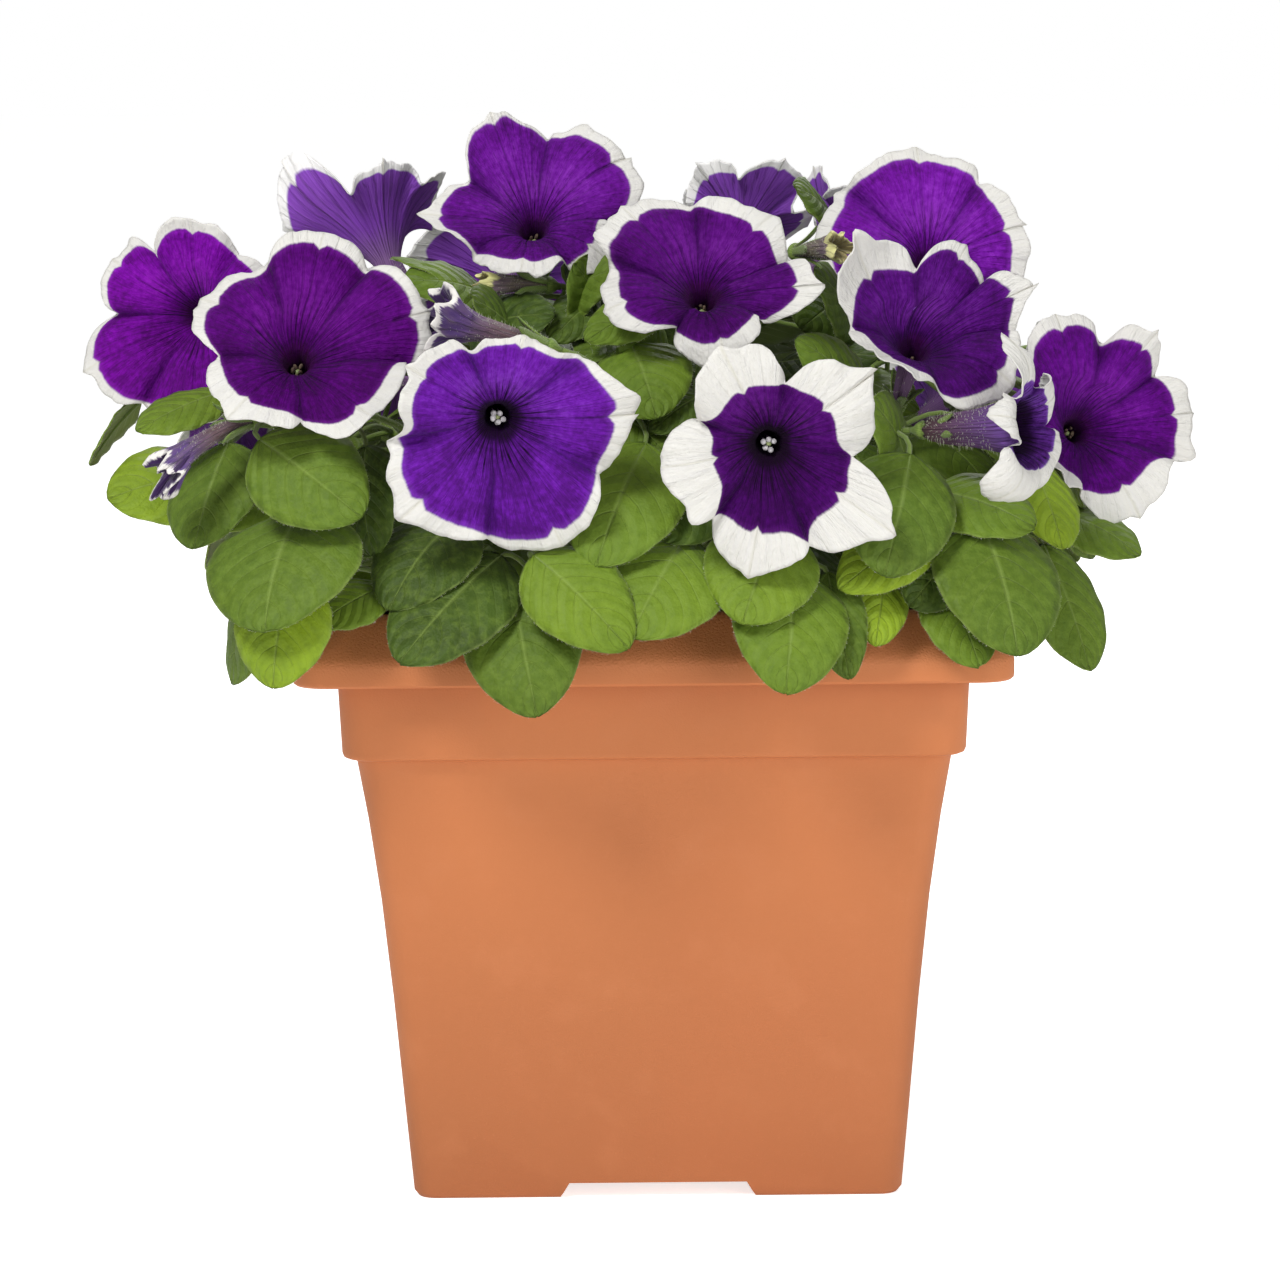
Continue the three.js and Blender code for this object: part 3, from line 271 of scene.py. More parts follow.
# The lobes of the blooms that the front shows, anticlockwise: where the tip of a lobe is in degrees, how far
# it reaches, its white margin as a share of the limb, where the seam after it is, how far that reaches, and
# how far the lobe bends forward.
LOBES = {
    "bloom_left": [
        (0, 38, 0.15, 49, 29, -2), (84, 35, 0.13, 122, 23, 3), (148, 38, 0.1, 180, 31, -3),
        (207, 45, 0.1, 242, 38, -2), (279, 43, 0.14, 318, 35, 2)],
    "bloom_left_front": [
        (14, 49, 0.1, 51, 42, 2), (78, 48, 0.13, 103, 37, 0), (146, 40, 0.14, 181, 28, -4),
        (232, 35, 0.24, 274, 27, 1), (311, 43, 0.2, 351, 41, -1)],
    "bloom_back_left": [
        (82, 30, 0.14, 118, 25, -7), (154, 34, 0.15, 190, 29, 0), (224, 36, 0.16, 260, 30, 0),
        (296, 37, 0.16, 332, 31, 2), (8, 38, 0.15, 46, 25, 12)],
    "bloom_top": [
        (40, 45, 0.13, 83, 36, -3), (112, 40, 0.04, 147, 27, 4), (182, 37, 0.12, 212, 25, -3),
        (268, 29, 0.24, 304, 25, 3), (330, 34, 0.26, 352, 27, -4)],
    "bloom_centre_front": [
        (2, 46, 0.15, 35, 36, 0), (74, 31, 0.1, 113, 27, -2), (146, 37, 0.15, 188, 31, 1),
        (224, 46, 0.15, 264, 41, -1), (296, 49, 0.11, 331, 39, 1)],
    "bloom_centre_right": [
        (354, 40, 0.18, 18, 31, 1), (48, 38, 0.22, 94, 34, 1), (132, 43, 0.15, 159, 34, 4),
        (194, 37, 0.2, 234, 18, -3), (284, 31, 0.26, 328, 23, -5)],
    "bloom_star": [
        (36, 40, 0.45, 76, 23, -2), (116, 38, 0.45, 160, 26, -1), (189, 39, 0.52, 232, 31, -2),
        (260, 45, 0.36, 290, 37, 0), (326, 48, 0.4, 349, 29, 1)],
    "bloom_top_right": [
        (17, 38, 0.2, 53, 36, 1), (92, 43, 0.11, 136, 39, 2), (172, 43, 0.14, 206, 36, 2),
        (240, 38, 0.16, 272, 32, -1), (304, 38, 0.16, 336, 36, -2)],
    "bloom_right": [
        (20, 42, 0.14, 37, 35, -2), (58, 41, 0.12, 81, 26, 3), (129, 38, 0.32, 174, 26, 6),
        (222, 28, 0.36, 276, 24, 3), (328, 38, 0.15, 2, 34, -5)],
    "bloom_far_right": [
        (4, 45, 0.19, 29, 37, -2), (49, 43, 0.14, 66, 33, -1), (101, 43, 0.12, 144, 28, 0),
        (206, 30, 0.32, 253, 25, 5), (294, 38, 0.33, 340, 36, 3)],
    "bloom_half_open": [
        (30, 22, 0.52, 62, 15, -2), (95, 24, 0.5, 130, 14, 0), (166, 20, 0.54, 200, 14, 2),
        (238, 25, 0.54, 278, 14, -2), (322, 26, 0.5, 352, 15, -2)],
}
USUAL_MARGIN = 0.16
WIDE_MARGINS = ("bloom_rear_2",)
WIDENING = 2.3
SEAM_MARGIN = 0.03

# Small spurs of the edge: where each is in degrees, and how far it stands out.
SPURS = {
    "bloom_left": [(132, 4), (204, 2)],
    "bloom_left_front": [(152, 2), (268, 3)],
    "bloom_top": [(67, 4), (105, 3), (182, 3)],
    "bloom_centre_front": [(189, 7), (222, 4), (9, 4), (118, 3)],
    "bloom_centre_right": [(155, 6), (352, 3), (45, 3)],
    "bloom_star": [(37, 4), (120, 2), (224, 4), (322, 3)],
    "bloom_top_right": [(60, 3), (140, 3)],
    "bloom_right": [(20, 5), (124, 3)],
    "bloom_far_right": [(343, 7), (62, 4), (232, 4)],
}
SPUR_WIDTH = 0.09

# How far the margins of the lobes curl, in degrees: forward and inward, or back where it is below zero.
CURLS = {
    "bloom_left": (-10, 30, -25, -15, 20),
    "bloom_left_front": (-20, -15, -30, -10, 35),
    "bloom_top": (-25, 25, 30, -35, -30),
    "bloom_centre_front": (-15, -20, 15, -20, -15),
    "bloom_centre_right": (20, -25, -15, -30, -45),
    "bloom_star": (-20, 10, -20, -15, 20),
    "bloom_top_right": (-20, -15, -25, 0, 0),
    "bloom_right": (25, -15, 70, 45, -25),
    "bloom_far_right": (-15, 30, -15, 70, -20),
    "bloom_back_left": (75, 60, 45, 60, 95),
    "bloom_back_middle": (45, 35, 50, 30, 40),
    "bloom_back_right": (40, 50, 35, 45, 40),
    "bloom_half_open": (-85, -70, -95, -100, -110),
}
USUAL_CURLS = (-15, 20, -25, 10, -20)

# The violet of each bloom as the eye sees it, from 0 to 255, and how far its dark eye spreads.
VIOLETS = {
    "bloom_left": (118, 12, 156, 0.03),
    "bloom_left_front": (84, 4, 112, 0.03),
    "bloom_back_left": (118, 46, 158, 0.1),
    "bloom_top": (98, 22, 136, 0.03),
    "bloom_centre_front": (102, 34, 156, 0.15),
    "bloom_centre_right": (82, 9, 112, 0.04),
    "bloom_star": (68, 4, 95, 0.15),
    "bloom_top_right": (110, 26, 152, 0.03),
    "bloom_right": (80, 13, 114, 0.03),
    "bloom_far_right": (92, 8, 126, 0.03),
    "bloom_half_open": (108, 64, 160, 0.3),
}
USUAL_VIOLET = (90, 10, 126, 0.04)
# Blooms that look straight out of the picture show their anthers. Eyes wider than this are near black.
OPEN_EYES = ("bloom_centre_front", "bloom_star")
OPEN_EYE = 0.1
YOUNG_BLOOM = "bloom_half_open"

# Buds: where the foot is, which way they point, and how far the tip droops.
BUDS = {
    "bud_front_folded": dict(at=(-36, -116, 319), az=-78, el=16, length=44, girth=1.15, head=1.45, droop=0),
    "bud_left_hanging": dict(at=(-142, -118, 294), az=-62, el=-6, length=36, girth=0.9, head=1.25, droop=15),
    "bud_top_withered": dict(at=(-37, -64, 338), az=-78, el=6, length=26, girth=0.85, head=0.8, droop=2),
    "bud_right_withered": dict(at=(54, -56, 349), az=40, el=8, length=26, girth=0.9, head=0.85, droop=1),
    "bud_rear_folded": dict(at=(-64, 132, 318), az=190, el=30, length=38, girth=1, head=0.9, droop=0),
    "bud_rear_hanging": dict(at=(146, 77, 301), az=118, el=-10, length=34, girth=0.9, head=1, droop=5),
}
# Rows of a bud, from its foot over the rim of its mouth to inside: where a row is in the grid, how far along
# the bud it is as a share of the length, its radius and how deep its folds are.
BUD_ROWS_AT = [0, 0.05, 0.24, 0.42, 0.58, 0.7, 0.77, 0.82, 0.9, 1]
BUD_SHARES = [0, 0.06, 0.34, 0.6, 0.82, 0.95, 1, 0.98, 0.86, 0.7]
BUD_RADII = [0.9, 2, 3.2, 3.9, 5.2, 7, 7, 5.6, 3, 1.2]
BUD_FOLDS = [0, 0, 0.03, 0.1, 0.26, 0.34, 0.36, 0.38, 0.4, 0.4]

# Shoots: where each one stands in the soil, and the blooms and buds that it carries. The low ones carry none
# and are given by the direction in which they hang over the rim.
SHOOTS = {
    "shoot_left": ((-52, -18), ["bloom_left"]),
    "shoot_left_front": ((-44, -38), ["bloom_left_front", "bud_left_hanging"]),
    "shoot_back_left": ((-34, 2), ["bloom_back_left"]),
    "shoot_top": ((-14, -16), ["bloom_top", "bud_top_withered"]),
    "shoot_centre_front": ((-20, -52), ["bloom_centre_front", "bud_front_folded"]),
    "shoot_centre_right": ((6, -32), ["bloom_centre_right"]),
    "shoot_star": ((14, -54), ["bloom_star"]),
    "shoot_top_right": ((32, -8), ["bloom_top_right"]),
    "shoot_right": ((30, -34), ["bloom_right", "bloom_half_open"]),
    "shoot_far_right": ((52, -14), ["bloom_far_right"]),
    "shoot_back_middle": ((12, 8), ["bloom_back_middle", "bloom_back_right", "bud_right_withered"]),
    "shoot_side_right": ((50, 12), ["bloom_side_right", "bud_rear_hanging"]),
    "shoot_rear_1": ((38, 34), ["bloom_rear_1"]),
    "shoot_rear_2": ((18, 48), ["bloom_rear_2"]),
    "shoot_rear_3": ((-8, 52), ["bloom_rear_3"]),
    "shoot_rear_4": ((-32, 40), ["bloom_rear_4", "bud_rear_folded"]),
    "shoot_side_left": ((-52, 16), ["bloom_side_left"]),
    "shoot_rear_5": ((4, 28), ["bloom_rear_5", "bloom_rear_6"]),
}
LOW_SHOOTS = (-44, -16, 16, 46, 78, 112, 148, 180, 212, 246, 282)

# Leaves that the front shows: base, tip, width and roll of the face.
FRONT_LEAVES = [
    (-190, -48, 296, -208, -60, 273, 16, 40),
    (-155, -90, 302, -185, -106, 289, 26, 0),
    (-158, -66, 268, -199, -84, 262, 38, -20),
    (-153, -98, 284, -164, -120, 248, 36, 0),
    (-139, -130, 288, -102, -150, 262, 35, 0),
    (-126, -126, 262, -136, -160, 223, 52, 0),
    (-128, -140, 240, -134, -150, 202, 34, 0),
    (-102, -116, 284, -99, -128, 246, 26, 20),
    (-70, -122, 262, -94, -150, 233, 34, 0),
    (-54, -132, 246, -89, -162, 212, 38, 0),
    (-96, -136, 240, -120, -148, 227, 20, 0),
    (-50, -138, 236, -41, -164, 193, 37, 0),
    (-42, -148, 248, -9, -166, 217, 31, 0),
    (-58, -130, 258, -19, -146, 243, 26, 0),
    (-2, -116, 284, -20, -152, 244, 40, 0),
    (12, -134, 254, -8, -164, 222, 42, 0),
    (24, -120, 280, 4, -142, 253, 32, 0),
    (44, -132, 256, 31, -158, 224, 36, 0),
    (50, -136, 240, 46, -162, 200, 36, 0),
    (62, -134, 240, 69, -150, 204, 18, 20),
    (83, -128, 240, 79, -144, 215, 18, 0),
    (92, -124, 280, 81, -154, 240, 36, 0),
    (100, -128, 256, 66, -142, 234, 24, 0),
    (100, -106, 258, 136, -122, 246, 30, 0),
    (117, -120, 256, 128, -152, 211, 43, 0),
    (110, -122, 248, 90, -138, 226, 25, 0),
    (104, -128, 234, 116, -146, 208, 26, 0),
    (138, -84, 274, 148, -106, 243, 26, 0),
    (148, -60, 252, 180, -72, 236, 32, 0),
    (142, -96, 244, 157, -116, 200, 30, 0),
    (72, -114, 292, 88, -128, 266, 20, 0),
    (80, -90, 292, 52, -104, 320, 24, 0),
    (-7, -94, 318, 2, -118, 293, 32, 0),
    (18, -102, 300, 0, -114, 288, 16, 0),
    (-9, -108, 296, 9, -120, 280, 18, 0),
    (2, -80, 326, -24, -98, 315, 18, 0),
    (-16, -66, 334, -36, -84, 318, 20, 0),
    (-60, -56, 334, -90, -72, 340, 26, 0),
    (-68, -66, 322, -36, -86, 330, 24, 0),
]
# Small leaves that close gaps between the blooms, in the same way.
FILL_LEAVES = [
    (-70, -40, 337, -93, -62, 347, 30, 0),
    (-18, -58, 325, -28, -78, 347, 28, 0),
    (-33, -62, 332, -10, -80, 345, 24, 0),
    (-31, -40, 345, -17, -56, 354, 20, 0),
    (77, -40, 319, 60, -60, 342, 28, 0),
    (92, -100, 272, 78, -122, 299, 30, 0),
    (71, -30, 329, 56, -52, 320, 26, 0),
    (-48, -70, 317, -65, -92, 335, 28, 0),
    (-4, -70, 322, -18, -96, 308, 34, 0),
    (3, -84, 304, -10, -96, 324, 26, 0),
    (69, -10, 360, 55, -24, 371, 22, 0),
    (-24, -34, 355, -33, -52, 346, 18, 0),
    (111, -104, 254, 96, -124, 242, 26, 0),
]
FILL_NUMBER = 1000
YELLOW_LEAVES = (2, 6, 20, 22, 27)
DARK_LEAVES = (7, 8, 9, 13, 16, 25)

# Rows of leaves: height, reach beyond the rim or None, reach from the axis or None, count, droop, length,
# width, and whether the front is planted too.
LEAF_ROWS = [
    (218, 21, None, 18, 64, 54, 47, False),
    (241, 22, None, 17, 50, 52, 45, False),
    (263, None, 158, 16, 38, 50, 42, False),
    (284, None, 144, 14, 26, 46, 36, False),
    (300, None, 118, 12, 14, 42, 33, False),
    (312, None, 86, 11, 4, 38, 29, False),
    (322, None, 48, 8, -12, 33, 25, False),
    (318, None, 16, 4, -24, 28, 20, False),
    (262, None, 118, 14, 30, 44, 36, True),
    (284, None, 82, 10, 16, 40, 32, True),
    (242, None, 122, 14, 26, 46, 40, True),
    (240, None, 84, 11, 4, 46, 38, True),
    (250, None, 40, 6, -6, 46, 36, True),
    (290, None, 44, 7, 0, 38, 30, True),
    (229, 10, None, 22, 44, 44, 38, False),
    (254, 6, None, 20, 34, 44, 38, False),
    (276, None, 138, 16, 26, 42, 34, False),
    (226, None, 102, 12, 16, 42, 34, True),
    (226, None, 56, 6, 0, 40, 32, True),
]
# Rows leave out the front, which has its own leaves: how far it spans to each side, and how high it goes.
# Leaves that end nearer to the axis than DEEP_INSIDE get a darker green: painted shade of the leaves around
# them.
HAND_SPAN = 66
HAND_TOP = 310
DEEP_INSIDE = 140


# Vectors

def vector(*numbers):
    return np.array(numbers, dtype=float)


def unit(v):
    return v / np.maximum(np.linalg.norm(v, axis=-1, keepdims=True), 1e-9)


def facing(azimuth, elevation):
    a, e = math.radians(azimuth), math.radians(elevation)
    return vector(math.sin(a) * math.cos(e), -math.cos(a) * math.cos(e), math.sin(e))


def turned(v, axis, angle):
    """v turned about axis by angle in radians."""
    along = axis * np.dot(v, axis)
    return along + (v - along) * math.cos(angle) + np.cross(axis, v) * math.sin(angle)


def cubic(start, bend, neck, end, steps):
    t = np.linspace(0, 1, steps + 1)[:, None]
    return (1 - t) ** 3 * start + 3 * (1 - t) ** 2 * t * bend + 3 * (1 - t) * t * t * neck + t ** 3 * end


def drawer(seed):
    state = seed

    def draw():
        nonlocal state
        state = (state * 16807) % 2147483647
        return state / 2147483647

    return draw


# Meshes: everything thin or round starts as a grid whose points are moved into place.

grids = {}


def grid(columns, rows):
    """The grid primitive with that many faces across and along, made once."""
    if (columns, rows) not in grids:
        bpy.ops.object.select_all(action="DESELECT")
        bpy.ops.mesh.primitive_grid_add(x_subdivisions=columns, y_subdivisions=rows, size=2)
        made = bpy.context.object
        mesh = made.data
        points = np.zeros(len(mesh.vertices) * 3)
        mesh.vertices.foreach_get("co", points)
        bpy.data.objects.remove(made)
        grids[columns, rows] = (mesh, (points.reshape(-1, 3)[:, :2] + 1) / 2)
    return grids[columns, rows]


def linked(name, mesh):
    piece = bpy.data.objects.new(name, mesh)
    bpy.context.scene.collection.objects.link(piece)
    return piece


def sheet(name, columns, rows, place, materials, tone=0.5):
    """A copy of a grid with its points at place(across, along), which both run from 0 to 1."""
    mesh, places = grid(columns, rows)
    copy = mesh.copy()
    points = place(places[:, 0], places[:, 1]) * MM
    copy.vertices.foreach_set("co", points.astype(np.float32).ravel())
    copy.attributes.new("tone", "FLOAT", "POINT")
    tones = np.broadcast_to(tone, len(places)).astype(np.float32)
    copy.attributes["tone"].data.foreach_set("value", tones)
    for material in materials:
        copy.materials.append(material)
    return linked(name, copy)


def side_frames(path, side=vector(0.31, 0.87, 0.2)):
    """Two directions square to a path at each of its points, turning as little as they can."""
    ways = unit(np.gradient(path, axis=0))
    sides = []
    for way in ways:
        side = unit(side - way * np.dot(side, way))
        sides.append(side)
    sides = np.array(sides)
    return sides, np.cross(ways, sides)


def tube(name, path, radii, around, material, tone=0.5):
    """A round stem along a path, closed at both ends."""
    path = np.vstack([path[:1], path, path[-1:]])
    radii = np.concatenate([[0], np.broadcast_to(radii, len(path) - 2), [0]])
    inner_sides, inner_across = side_frames(path[1:-1])
    sides = np.vstack([inner_sides[:1], inner_sides, inner_sides[-1:]])
    across = np.vstack([inner_across[:1], inner_across, inner_across[-1:]])
    last = len(path) - 1

    def place(u, v):
        i = np.rint(v * last).astype(int)
        angle = 2 * math.pi * u[:, None]
        return path[i] + radii[i][:, None] * (np.cos(angle) * sides[i] + np.sin(angle) * across[i])

    return sheet(name, around, last, place, [material], tone)


def select_only(pieces):
    bpy.ops.object.select_all(action="DESELECT")
    for piece in pieces:
        piece.select_set(True)
    bpy.context.view_layer.objects.active = pieces[0]


def joined(name, pieces):
    """The pieces as one, with points that meet made one and shaded smooth."""
    select_only(pieces)
    if len(pieces) > 1:
        bpy.ops.object.join()
    piece = bpy.context.object
    bpy.ops.object.mode_set(mode="EDIT")
    bpy.ops.mesh.select_all(action="SELECT")
    bpy.ops.mesh.remove_doubles(threshold=0.00002)
    bpy.ops.object.mode_set(mode="OBJECT")
    bpy.ops.object.shade_smooth()
    piece.name = name
    piece.data.name = name
    return piece


def thickened(piece, thickness):
    """A sheet given its thickness. Its other side takes the next material."""
    select_only([piece])
    wall = piece.modifiers.new("wall", "SOLIDIFY")
    wall.thickness = thickness * MM
    wall.offset = -1
    wall.material_offset = 1
    wall.material_offset_rim = 1
    bpy.ops.object.modifier_apply(modifier=wall.name)
    return piece


def taken_apart():
    """The points and faces of the primitive that was just made, which is removed."""
    made = bpy.context.object
    points = np.array([v.co for v in made.data.vertices])
    faces = np.array([p.vertices[:] for p in made.data.polygons])
    bpy.data.objects.remove(made)
    return points, faces


def many_copies(name, points, faces, material):
    """Copies of a small form as one mesh, from the points of each copy and the faces that all have."""
    corners = faces[None] + (np.arange(len(points)) * points.shape[1])[:, None, None]
    mesh = bpy.data.meshes.new(name)
    mesh.from_pydata((points.reshape(-1, 3) * MM).tolist(), [], corners.reshape(-1, 3).tolist())
    mesh.materials.append(material)
    mesh.uv_layers.new(name="UVMap")
    return linked(name, mesh)


def hairs(roots, ways, lengths, radius):
    """Fine hairs: copies of one small cone, each on its root and pointing its own way."""
    bpy.ops.object.select_all(action="DESELECT")
    bpy.ops.mesh.primitive_cone_add(vertices=3, radius1=1, radius2=0, depth=1, end_fill_type="NOTHING",
                                    location=(0, 0, 0.5))
    bpy.ops.object.transform_apply(location=True)
    shape, faces = taken_apart()
    ways = unit(ways)
    sides = unit(np.cross(ways, np.roll(ways, 1, axis=1) + vector(0.3, 0.2, 0.1)))
    across = np.cross(ways, sides)
    points = (roots[:, None] + shape[None, :, 0:1] * sides[:, None] * radius
              + shape[None, :, 1:2] * across[:, None] * radius
              + shape[None, :, 2:3] * ways[:, None] * lengths[:, None, None])
    return many_copies("hair", points, faces, HAIR)


# Finishes

def srgb(red, green, blue):
    """A colour as seen on a screen, from 0 to 255, as the linear light that a shader takes."""
    def linear(c):
        c /= 255
        return c / 12.92 if c <= 0.04045 else ((c + 0.055) / 1.055) ** 2.4
    return (linear(red), linear(green), linear(blue), 1)


class Signal:
    """A socket that carries a number, so that shader maths reads as an expression."""

    def __init__(self, finish, socket):
        self.finish = finish
        self.socket = socket

    def maths(self, operation, *values):
        return self.finish.node("Math", {"operation": operation}, dict(enumerate(values)))

    def __add__(self, other):
        return self.maths("ADD", self, other)

    def __radd__(self, other):
        return self.maths("ADD", other, self)

    def __sub__(self, other):
        return self.maths("SUBTRACT", self, other)

    def __rsub__(self, other):
        return self.maths("SUBTRACT", other, self)

    def __mul__(self, other):
        return self.maths("MULTIPLY", self, other)

    def __rmul__(self, other):
        return self.maths("MULTIPLY", other, self)

    def __truediv__(self, other):
        return self.maths("DIVIDE", self, other)

    def __rtruediv__(self, other):
        return self.maths("DIVIDE", other, self)

    def __pow__(self, other):
        return self.maths("POWER", self, other)

    def __abs__(self):
        return self.maths("ABSOLUTE", self)

    def sine(self):
        return self.maths("SINE", self)

    def cosine(self):
        return self.maths("COSINE", self)

    def nearest(self):
        return self.maths("ROUND", self)

    def larger(self, other):
        return self.maths("MAXIMUM", self, other)

    def smaller(self, other):
        return self.maths("MINIMUM", self, other)

    def rising(self, low, high):
        """0 below low, 1 above high and smooth between."""
        return self.finish.node("MapRange", {"interpolation_type": "SMOOTHSTEP"},
                                {0: self, 1: low, 2: high, 3: 0.0, 4: 1.0})


class Finish:
    """A material: a few fixed sockets of its shader, and nodes for what changes over the surface."""

    def __init__(self, name, **fixed):
        self.material = bpy.data.materials.new(name)
        self.material.use_nodes = True
        self.tree = self.material.node_tree
        self.shader = next(n for n in self.tree.nodes if n.type == "BSDF_PRINCIPLED")
        for socket, value in fixed.items():
            self.shader.inputs[socket.replace("_", " ")].default_value = value

    def node(self, kind, settings, inputs, output=0):
        """A node of that kind, its settings made first and its sockets filled or linked."""
        made = self.tree.nodes.new("ShaderNode" + kind)
        for key, value in settings.items():
            setattr(made, key, value)
        for key, value in inputs.items():
            self.feed(made.inputs[key], value)
        return Signal(self, made.outputs[output])

    def feed(self, socket, value):
        if isinstance(value, Signal):
            self.tree.links.new(value.socket, socket)
        else:
            socket.default_value = value

    def drive(self, socket, value):
        self.feed(self.shader.inputs[socket], value)

    def mixed(self, share, first, second):
        """A colour between two colours."""
        return self.node("Mix", {"data_type": "RGBA"}, {0: share, 6: first, 7: second}, 2)

    def split(self, whole):
        parts = self.tree.nodes.new("ShaderNodeSeparateXYZ")
        self.feed(parts.inputs[0], whole)
        return [Signal(self, output) for output in parts.outputs]

    def uv(self):
        """How far a point is across its grid and along it, from 0 to 1."""
        return self.split(self.node("UVMap", {"uv_map": "UVMap"}, {}))[:2]

    def place(self):
        """Where a point is on the object, in metres."""
        return self.node("TexCoord", {}, {}, "Object")

    def height(self):
        return self.split(self.place())[2]

    def tone(self):
        return self.node("Attribute", {"attribute_name": "tone"}, {}, "Fac")

    def ring(self, angle, size, along):
        """A place on a tube of that radius, so that a pattern meets itself where it comes round."""
        return self.node("CombineXYZ", {}, {0: angle.cosine() * size, 1: angle.sine() * size, 2: along})

    def noise(self, where, scale, detail=2.0, roughness=0.5):
        return self.node("TexNoise", {}, {"Vector": where, "Scale": scale, "Detail": detail,
                                          "Roughness": roughness})

    def cells(self, where, scale, feature="F1"):
        return self.node("TexVoronoi", {"feature": feature}, {"Vector": where, "Scale": scale})

    def relief(self, height, distance):
        """Small relief, distance metres deep where height goes from 0 to 1."""
        self.drive("Normal", self.node("Bump", {}, {"Height": height, "Distance": distance, "Strength": 1.0}))


def petal_pattern(finish, seed):
    """What both sides of a petal show, and what only the face reads. A point's tone is the width of the white
    margin there."""
    across, along = finish.uv()
    share = (along - LIMB_START) / (1 - LIMB_START)
    lobes = across * 5
    side = abs(lobes - lobes.nearest()) * 2
    angle = across * (2 * math.pi)
    wander = finish.noise(finish.ring(angle, 1, share * 1.6 + seed), 2.2, 2.0) - 0.5
    streaks = finish.noise(finish.ring(angle, 9, share * 0.9 + seed), 3.0, 3.0) - 0.5
    silk = finish.noise(finish.ring(angle, 30, share * 2.4 + seed), 3.0, 2.0) - 0.5
    # The violet runs out along each midrib into the white, whose inner edge is uneven.
    incursion = (1 - side * 8).larger(0) * 0.06
    width = finish.tone() + incursion + wander * 0.03 + streaks * 0.018 + silk * 0.008
    inward = share - 1 + width
    # Veins fan out of the throat, wander a little and branch towards the edge.
    bent = angle + wander * 0.16 * share + streaks * 0.06 + silk * 0.025
    coarse = 1 - abs((bent * 20 + streaks * 2.6).sine())
    fine = 1 - abs((bent * 34.5 + streaks * 4 + 1.3).sine())
    middle_vein = 1 - (side * (14 + share * 18)).smaller(1)
    return (share, inward, coarse ** 4, fine ** 5, middle_vein, streaks, silk), (side, angle, wander)


def petal_face(name, seed, fan, violet, eye):
    """The velvety upper side: rich violet with fine dark veins, a painted sheen and painted shade in the
    creases, a white margin and a near-black throat.
    """
    finish = Finish(name, Roughness=0.7, Sheen_Weight=0.02, Sheen_Roughness=0.4, Specular_IOR_Level=0.06)
    pattern, (side, angle, wander) = petal_pattern(finish, seed)
    share, inward, coarse, fine, middle_vein, streaks, silk = pattern
    red, green, blue = violet
    throat = srgb(22, 3, 26) if eye > OPEN_EYE else srgb(66, 8, 58)
    eye_core = eye * 0.4 if eye > OPEN_EYE else -0.12
    deep = srgb(red * 0.76, green * 0.5, blue * 0.74)
    plain = srgb(red * 1.04, green * 0.8, blue * 1.04)
    bright = srgb(red * 1.2 + 14, green * 1.1 + 22, blue * 1.14 + 18)
    white = inward.rising(-0.014, 0.016)
    place = finish.place()
    velvet = finish.noise(place, 520.0, 3.0) - 0.5
    cloud = finish.noise(place, 90.0, 3.0) - 0.5
    # Painted sheen: a lighter fan of violet on one side of the throat. With the noises below, it picks
    # between the deep, plain and bright violets, so these are partly painted sheen and partly the petal's own
    # uneven tone.
    painted_sheen = ((angle - fan).cosine() * 0.5 + 0.5) * share.rising(0.02, 0.3)
    painted_sheen *= 1 - share.rising(0.3, 0.9) * 0.75
    glow = painted_sheen * 0.75 + wander * 0.6 + streaks * 0.7 + silk * 0.8 + velvet * 1.1 + cloud * 0.7 + 0.12
    colour = finish.mixed(glow.rising(-0.1, 0.6), deep, plain)
    colour = finish.mixed(glow.rising(0.4, 1.1) * 0.8, colour, bright)
    near = 1 - share.rising(0.08, 0.55)
    veins = coarse * (0.06 + near) + fine * (0.03 + near * 0.9) + middle_vein * 0.2
    colour = finish.mixed(veins.smaller(1) * 0.94, colour, srgb(red * 0.18, green * 0.1, blue * 0.2))
    spokes = (1 - share.rising(eye, eye * 3)) * (coarse + fine * 0.7 + 0.2)
    colour = finish.mixed(spokes.smaller(1) * 0.9, colour, throat)
    colour = finish.mixed((1 - share.rising(eye_core, eye)) * 0.85, colour, throat)
    # Painted shade in the creases: the violet is darker in the folds along the seams.
    painted_crease_shade = side ** 7 * share.rising(0.12, 0.45)
    colour = finish.mixed(painted_crease_shade * 0.55, colour, srgb(red * 0.42, green * 0.3, blue * 0.45))
    fringe = srgb(red + 38, green + 34, blue + 40)
    colour = finish.mixed(inward.rising(-0.07, -0.005) * 0.35, colour, fringe)
    cream = finish.mixed(middle_vein * 0.35 + fine * 0.1, srgb(219, 217, 211), srgb(192, 188, 166))
    cream = finish.mixed((streaks + 0.5).rising(0.4, 0.75) * 0.3, cream, srgb(208, 206, 208))
    finish.drive("Base Color", finish.mixed(white, colour, cream))
    finish.drive("Roughness", 0.62 + white * 0.05 + silk * 0.1)
    wrinkles = finish.noise(finish.ring(angle, 5, share * 4 + seed), 4.0, 3.0)
    relief = streaks * 0.7 + silk * 0.35 + wrinkles * 0.9 + velvet * 0.12 - coarse * 0.2 - middle_vein * 0.2
    finish.relief(relief * (1 - white * 0.4), 0.0011)
    return finish.material


